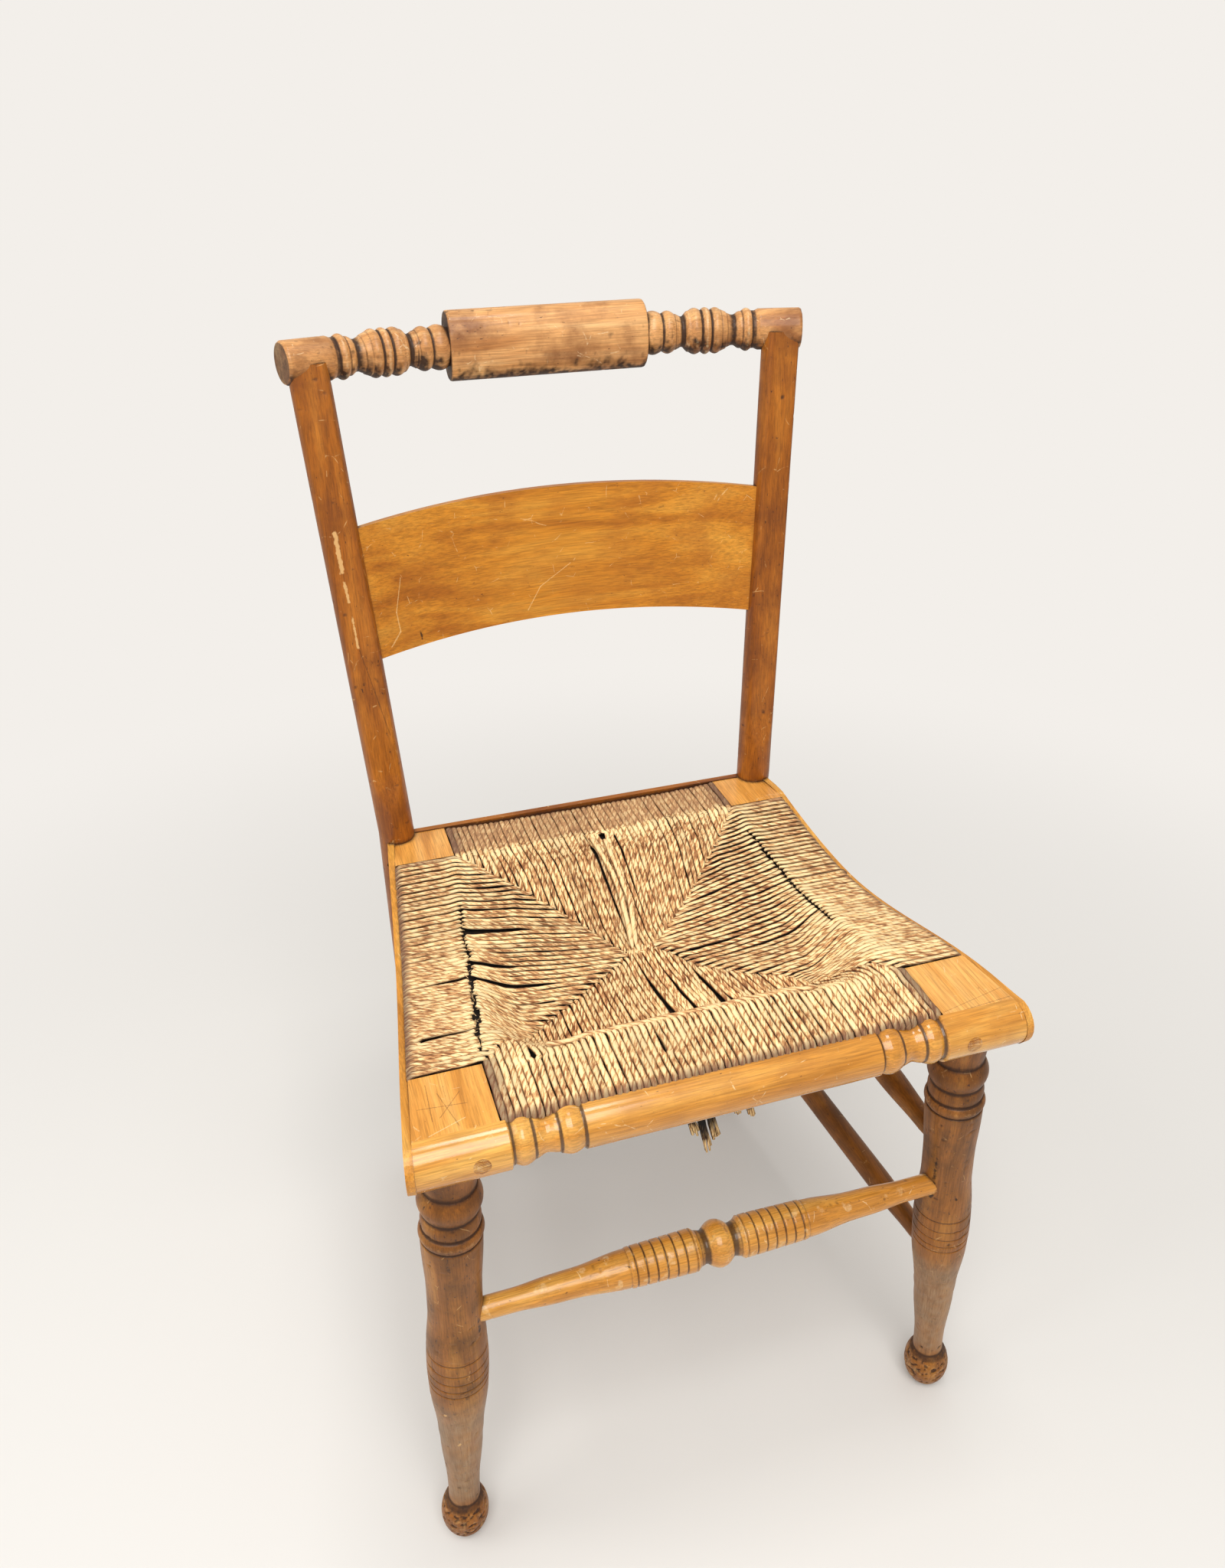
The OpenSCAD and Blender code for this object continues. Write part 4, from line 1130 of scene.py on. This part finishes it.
STRAW = ["#774a29", "#b57e4f", "#d39f6a", "#f1c784", "#fcdea6"]
rush = rush_material("twisted dry rush", STRAW, furrow=0.3)
side_rush = rush_material("twisted dry rush, pressed flat", STRAW, furrow=0.13)
print("finishes:", rush.name, "and", side_rush.name)

# %% [markdown]
# ## Weaving the four fields
# Every strand starts in a seam on top, runs out over its rail, down behind the roll or
# strip and back underneath to the seam below. Strands lie in pairs, as each round of
# the weaver lays two at every corner. Towards the middle they crowd together and lean,
# cracks cut them in two with frayed ends, and splits push them aside.

# %% Where a strand lies
CROSSWISE = ("front", "rear")           # the fields whose strands run front to back
PITCH = 4.65                            # mm from strand to strand
FILL, HALF_H = 0.54, 1.75               # half width in pitches, half height in mm
SIDE_HALF_H = 1.45                      # the strands over the sides are pressed flatter
STEP, RIM_STEP, UNDER_STEP = 2.3, 1.2, 6.0   # mm between rings: on top, at the rim, below
RIM_BULGE = 1.6                         # how far a strand swings out as it turns down
SEAM_FREE = 8                           # mm in from the rim where no seam can be yet
random.seed(11)


def place_on(field, across, depth, parted=True):
    """The (x, y) of a strand's middle, at a distance in from the rim."""
    inward = max(0.0, depth - BAND)
    if parted:
        across = across + opened(field, across, depth)
    if field in CROSSWISE:
        lean = -21 * (1 - math.exp(-inward / 55)) if field == "front" else 0.0
        edge = FRONT_X if field == "front" else REAR_X
        free = 1 - min(1.0, abs(across) / edge) ** 3
        x = across + lean * free - 0.0017 * across * inward * free
        return x, FRONT_Y + depth if field == "front" else BACK_Y - depth
    drift = -20 * (1 - math.exp(-inward / 70)) * mixed(-0.35, 1.0, smooth(-122, -84, across))
    y = across + drift
    x = inner_x(y) - 0.6 - depth
    return (x if field == "right" else -x), y


def inside(field, x, y, slack=0.0):
    """True where a field's own side of the seams is, plus slack."""
    front_seam, rear_seam = seam("front", x), seam("rear", x)
    if field == "front":
        return y < front_seam + slack
    if field == "rear":
        return y > rear_seam - slack
    return front_seam - slack < y < rear_seam + slack and (x > 0) == (field == "right")


print("strands every", PITCH, "mm, bands", BAND, "mm wide")

# %% Height and width of a strand


def ridge(field, across, depth):
    """The raised fold along the inner edge of the front band, and the step behind it."""
    if field == "front" and abs(across + 8) < 92:
        fade = smooth(92, 70, abs(across + 8))
        return fade * (1.5 * math.exp(-((depth - 54) / 4) ** 2)
                       + 3.4 * smooth(46, 54, depth) * smooth(66, 57, depth))
    if field == "rear":
        return 1.0 * math.exp(-((depth - 49) / 4) ** 2)
    return 0.8 * math.exp(-((depth - 47) / 5) ** 2)


def seam_dip(field, x, y):
    """Strands dive under their neighbours over the last few millimetres before a seam."""
    gap = min(abs(y - seam("front", x)), abs(y - seam("rear", x)))
    if field in CROSSWISE and LEFT_TIP[0] < x < RIGHT_TIP[0]:
        return 0.3
    return (2.3 if field in CROSSWISE else 1.2) * smooth(6.0, 0.0, gap)


def half_height(field):
    return HALF_H if field in CROSSWISE else SIDE_HALF_H


def half_width(field, across, depth):
    """Half the room that a strand has between its neighbours."""
    low = Vector(place_on(field, across - PITCH / 2, depth, parted=False))
    high = Vector(place_on(field, across + PITCH / 2, depth, parted=False))
    gap = (high.x - low.x if field in CROSSWISE else high.y - low.y)
    return FILL * abs(gap)


print("a side strand is", 2 * half_height("left"), "mm high")

# %% One whole strand


def top_run(field, across, slack):
    """The upper side of a strand as (point, depth, half width), from the rim inwards."""
    top, depth = [], 0.0
    while True:
        x, y = place_on(field, across, depth)
        if depth > SEAM_FREE and not inside(field, x, y, slack):
            break
        half = half_width(field, across, depth)
        z = seat_top(x, y) - half_height(field)
        z += 0.22 * noise.noise((across * 3.1, depth / 9, 1.0))
        z += ridge(field, across, depth) - 2.2 * smooth(3.0, 0.0, depth)
        top.append((Vector((x, y, z - seam_dip(field, x, y))), depth, half))
        depth += STEP if depth > 4 else RIM_STEP
    return top


def broken_at(run, edge, half):
    """Cuts a run at a crack into an outer and an inner run with thin, drooping ends."""
    parts = []
    for sign in (1, -1):
        limit = edge + sign * half * random.uniform(0.3, 1.5) + random.uniform(-0.3, 0.3)
        part = [p for p in run if sign * (abs(p[0].x) - limit) > 0.3]
        if sign < 0:
            part = part[::-1]
        if len(part) < 4:
            return [run]
        last, before = part[-1], part[-2]
        far = (limit - abs(last[0].x)) / (abs(last[0].x) - abs(before[0].x))
        tip = last[0] + (last[0] - before[0]) * far
        droop = random.uniform(0.2, 1.0)
        part[-1] = (last[0], last[1], last[2] * 0.9)
        part.append((tip - Vector((0, 0, droop)), last[1], last[2] * random.uniform(0.4, 0.7)))
        parts.append(part)
    return parts


def strand_runs(field, across, slack):
    """A whole strand: top, down over the rim, and back underneath; cut where cracked."""
    runs = []
    top = top_run(field, across, slack)
    crack = crack_at(field, across) if field not in CROSSWISE else None
    if crack:
        parts = broken_at(top, abs(crack[0]), crack[1] * 0.95)
        top = parts[0] if parts[0][0][1] < parts[0][-1][1] else parts[0][::-1]
        runs += parts[1:]
    x, y = place_on(field, across, 0.0)
    high, low = top[0][0].z, seat_under(x, y) + HALF_H
    half = top[0][2]
    under = []
    for i in range(1, 6):
        swing = RIM_BULGE * math.sin(math.pi * i / 6)
        x, y = place_on(field, across, -swing * 0.5)
        under.append((Vector((x, y, mixed(high - 1, low + 1, i / 6))), 0.0, half))
    depth = 1.0
    while True:
        x, y = place_on(field, across, depth)
        if depth > SEAM_FREE and not inside(field, x, y, 1.0):
            break
        under.append((Vector((x, y, seat_under(x, y) + HALF_H)), depth,
                      half_width(field, across, depth)))
        depth += UNDER_STEP
    runs.append(top[::-1] + under)
    return runs


print("the middle front strand has", len(top_run("front", 0.0, 2.0)), "rings on top")

# %% Wear, dirt and dust on the rush


def wear_at(field, point, depth):
    """How far the rush is rubbed pale: most over the inner edges of the bands."""
    patch = 0.3 * noise.noise(point / 9)
    if field == "rear":
        edge = math.exp(-((depth - BAND - 2) / 7) ** 2)
        ragged = depth + 7 * noise.noise(point / 4)
        return min(1.0, 0.1 + 0.9 * edge + patch - 0.3 * smooth(52, 36, ragged))
    edge = math.exp(-((depth - BAND) / 13) ** 2)
    band = smooth(2, 10, depth) * smooth(BAND + 10, BAND - 6, depth)
    base = {"front": 0.25, "left": 0.12, "right": 0.3}[field]
    return min(1.0, base + 0.7 * edge + (0.2 if field == "front" else 0.0) * band + patch)


def dirt_at(field, point, depth):
    """Grey dust and sweat beside the roll, the strips and the blocks."""
    rim = smooth(7, 0, depth)
    block = 0.0
    for bx, y0, y1 in ((FRONT_X, -999, FRONT_SEAM_Y), (REAR_X, REAR_SEAM_Y, 999)):
        if y0 <= point.y <= y1:
            block = max(block, smooth(bx - 16, bx - 2, abs(point.x)))
    if field not in CROSSWISE:
        block = max(block, 0.8 * smooth(REAR_SEAM_Y - 9, REAR_SEAM_Y, point.y))
    back = 0.1 * smooth(48, 30, depth) if field == "rear" else 0.0
    below = point.z < min(416, seat_top(point.x, point.y) - 10)
    under = 0.8 if below and depth < 120 else 0.0
    return min(1.0, max(rim, block, back, under))


def dusty_at(field, point, depth):
    """A film of dust on the bands, which clogs the furrows between the strands."""
    ragged = depth + 7 * noise.noise(point / 4) + 4 * noise.noise(point / 14)
    amount = {"rear": 0.95, "front": 0.4, "left": 0.45, "right": 0.45}[field]
    return amount * smooth(52, 40, ragged)


print("worn at the fold:", round(wear_at("front", Vector((0, -150, 440)), BAND), 2))

# %% Weave the fields


def weave(field, first, last):
    count = int((last - first) / PITCH)
    step = (last - first) / count
    strands = []
    for k in range(count):
        pair = 0.1 if k % 2 else -0.1
        across = first + step * (k + 0.5) - pair + random.uniform(-0.22, 0.22)
        tone = random.random()
        for run in strand_runs(field, across, 3.2 if k % 2 else 2.0):
            frayed = run[-1][2] < 0.8 * run[0][2] or run[0][2] < 0.8 * run[-1][2]
            wear = [wear_at(field, p, depth) for p, depth, half in run]
            if frayed and field not in CROSSWISE:
                wear = [max(w, smooth(9, 1, abs(depth - BAND))) for w, (p, depth, half)
                        in zip(wear, run)]
            dirt = [dirt_at(field, p, depth) for p, depth, half in run]
            swell = random.uniform(0.96, 1.04)
            sizes = [(half * swell, half_height(field) * min(1.0, half / 2.1))
                     for p, depth, half in run]
            dusty = [dusty_at(field, p, depth) for p, depth, half in run]
            strands.append(sweep_strand([p for p, depth, half in run], sizes, tone, wear, dirt,
                                        dusty))
    gather("rush_" + field, strands,
           rush if field in CROSSWISE else side_rush,
           "rush_seat" if field == "front" else None)


weave("front", -FRONT_X + 0.8, FRONT_X - 0.8)
weave("rear", -REAR_X + 0.8, REAR_X - 0.8)
weave("left", FRONT_SEAM_Y + 0.6, REAR_SEAM_Y - 0.6)
weave("right", FRONT_SEAM_Y + 0.6, REAR_SEAM_Y - 0.6)

# %% [markdown]
# ## Stuffing
# Between the upper and lower strands a weaver packs scraps of rush. Here it is one
# closed body just under the strands, and almost black, because what shows of it
# through the cracks is deep in shade.

# %% Stuffing


def make_stuffing():
    bm = bmesh.new()
    bmesh.ops.create_grid(bm, x_segments=56, y_segments=56, size=1.0)
    away = []
    for vert in bm.verts:
        y = mixed(FRONT_Y + 3, BACK_Y - 3, (vert.co.y + 1) / 2)
        x = vert.co.x * (inner_x(y) - 4)
        vert.co = Vector((x, y, seat_top(x, y) - 6.5)) * MM
    for face in bm.faces:
        x, y = abs(face.calc_center_median().x) / MM, face.calc_center_median().y / MM
        if (x > FRONT_X - 3 and y < FRONT_SEAM_Y + 3) or (x > REAR_X - 3 and y > REAR_SEAM_Y - 3):
            away.append(face)
    bmesh.ops.delete(bm, geom=away, context="FACES")
    grown = bmesh.ops.extrude_face_region(bm, geom=list(bm.faces))["geom"]
    for vert in (g for g in grown if isinstance(g, bmesh.types.BMVert)):
        vert.co.z = (seat_under(vert.co.x / MM, vert.co.y / MM) + 6) * MM
    bmesh.ops.recalc_face_normals(bm, faces=bm.faces)
    material, tree, surface = new_material("packed rush scraps, dark")
    place = add(tree, "TexCoord", out="Object")
    scraps = add(tree, "TexNoise", {"Vector": place, "Scale": 1 / 0.004, "Detail": 4.0})
    colour = add(tree, "ValToRGB", {"Fac": scraps}, stops=[(0.4, "#0d0805"), (0.7, "#3a2614")])
    fill(tree, surface, {"Base Color": colour, "Roughness": 0.95})
    mesh = as_mesh("rush_stuffing", bm, soft=False)
    on_chair("rush_stuffing", mesh, material, "rush_seat")
    print("stuffing", len(mesh.polygons), "faces")


make_stuffing()

# %% [markdown]
# ## Loose strands, fray and broken ends
# Some strands have let go. Two lie loose across the back field, one leaf has slipped
# along the fold behind the front band, and hair-thin fibres stand up wherever the cord
# has broken. Under the front rail, a few bundles have snapped and hang down: almost
# black on their sides, pale where the ends have frayed.

# %% Loose strands and the front fold


def loose(points, half_wide, half_high, tone=0.9, worn=0.8):
    """One strand through a few given points, smoothed into a curve."""
    guide = [Vector(p) for p in points]
    fine = []
    for i, (a, b) in enumerate(zip(guide, guide[1:])):
        before = guide[max(0, i - 1)]
        after = guide[min(len(guide) - 1, i + 2)]
        for t in [k / 8 for k in range(8)]:
            pull = (b - before) * 0.5 * (t - 2 * t * t + t ** 3)
            push = (after - a) * 0.5 * (t ** 3 - t * t)
            fine.append(a * (1 - 3 * t * t + 2 * t ** 3) + b * (3 * t * t - 2 * t ** 3)
                        + pull + push)
    fine.append(guide[-1])
    count = len(fine)
    taper = [min(1.0, 0.4 + min(i, count - 1 - i) / 4) for i in range(count)]
    sizes = [(half_wide * t, half_high * t) for t in taper]
    return sweep_strand(fine, sizes, tone, [worn] * count, [0.0] * count, [0.6] * count, 8)


def on_seat(x, y, lift):
    return (x, y, seat_top(x, y) + lift)


fold = [on_seat(x, FRONT_Y + 55.5 + 0.8 * noise.noise((x / 15, 2, 5)),
                1.6 + 3.4 * smooth(92, 70, abs(x + 8)) + 0.6 * noise.noise((x / 20, 8, 1)))
        for x in range(-112, 89, 10)]
gather("rush_loose", [
    loose([on_seat(-9.5, 91, -1.0), on_seat(-8.8, 83, 1.2), on_seat(-7.5, 60, 2.0),
           on_seat(-4, 33, 2.2), on_seat(-6.3, 0, 2.0), on_seat(-12, -33, -0.6)], 2.4, 1.7),
    loose([on_seat(1.5, 84, -1.5), on_seat(0.8, 74, 1.2), on_seat(1.0, 35, 2.2),
           on_seat(0.5, 9, 2.2), on_seat(-6, -20, 1.8), on_seat(-8, -38, -1.0)], 2.3, 1.6),
    loose(fold, 2.6, 1.8, 0.8, 0.45)], rush)

# %% Frayed fibres


def fray(spots, seed):
    """Hair-thin fibres, each a short curl that starts in the surface."""
    random.seed(seed)
    hairs = []
    for x, y, z, reach in spots:
        turn = random.uniform(0, 2 * math.pi)
        lift = random.uniform(0.1, 0.6)
        ahead = Vector((math.cos(turn), math.sin(turn), lift)) * reach
        bend = Vector((random.uniform(-1, 1), random.uniform(-1, 1), -0.8)) * reach * 0.35
        start = Vector((x, y, z - 0.8))
        points = [start + ahead * t + bend * t * t for t in (0, 0.2, 0.45, 0.7, 1.0)]
        size = random.uniform(0.18, 0.4)
        hairs.append(sweep_strand(points, [(size * w, size * w) for w in (1, 1, 0.9, 0.7, 0.4)],
                                  random.random(), [1.0] * 5, [0.0] * 5, sides=4, lobes=0.0))
    return hairs


spots = []
random.seed(29)
for name, points, widths in CRACKS:
    for _ in range(34):
        (x0, y0), (x1, y1) = random.choice(list(zip(points, points[1:])))
        t = random.random()
        x, y = mixed(x0, x1, t) + random.uniform(-2.5, 2.5), mixed(y0, y1, t)
        spots.append((x, y, seat_top(x, y), random.uniform(2, 6)))
# count, half length of the edge, its depth, drift from it, lift, longest fibre
for count, half, edge, drift, lift, longest in (
        (60, REAR_X - 6, BACK_Y - BAND, 1, 0.8, 6), (40, 120, FRONT_Y + BAND + 4, 0, 1.2, 5)):
    for _ in range(count):
        x = random.uniform(-half, half)
        y = edge + random.gauss(drift, 2.5)
        spots.append((x, y, seat_top(x, y) + lift, random.uniform(2, longest)))
gather("rush_fray", fray(spots, 5), rush)

# %% Broken ends under the front
BUNDLES = [((-26, -170), (-12, -173), 353, 2.9), ((-18, -166), (-5, -170), 351, 2.9),
           ((-16, -173), (-3, -175), 337, 2.8), ((-8, -168), (4, -172), 344, 3.0),
           ((12, -170), (21, -172), 362, 2.7), ((22, -168), (32, -171), 357, 2.8),
           ((35, -170), (39, -171), 370, 2.3)]


def hanging(start, end, low, radius):
    """One snapped bundle: a few thin strands that part towards their ends."""
    leaves = []
    for k in range(6):
        turn = k * math.pi / 3 + random.uniform(-0.3, 0.3)
        out = Vector((math.cos(turn), math.sin(turn), 0)) * radius * 0.55
        top, foot = Vector((*start, 408.0)), Vector((*end, low + random.uniform(0.5, 6)))
        points = []
        for i in range(11):
            t = i / 10
            sway = Vector((noise.noise((k * 3.1, t * 2.2, low)),
                           noise.noise((k * 5.3, t * 2.2, low + 9)), 0)) * 2.2 * t
            points.append(top.lerp(foot, t) + out * (0.8 + 0.5 * t * t) + sway * 0.6)
        size = radius * random.uniform(0.42, 0.56)
        sizes = [[size * (1 - 0.35 * (i / 10) ** 3)] * 2 for i in range(11)]
        pale = [smooth(0.74, 0.9, i / 10) for i in range(11)]
        leaves.append(sweep_strand(points, sizes, random.random(), pale,
                                   [1.0 - w for w in pale], sides=6, lobes=0.15))
    return leaves


random.seed(17)
ends = [leaf for bundle in BUNDLES for leaf in hanging(*bundle)]
# The snapped bundles are painted near black along their length, fading to pale straw at the tips.
SNAPPED = ["#2a1b12", "#6b4a2c", "#a97a48", "#d8ab6c", "#efcb92"]
black_rush = rush_material("snapped rush, near black", SNAPPED, dirt_gain=1.25,
                           furrow=0.35, soil="#120d0b")
gather("rush_hanging", ends, black_rush, "rush_broken_ends")
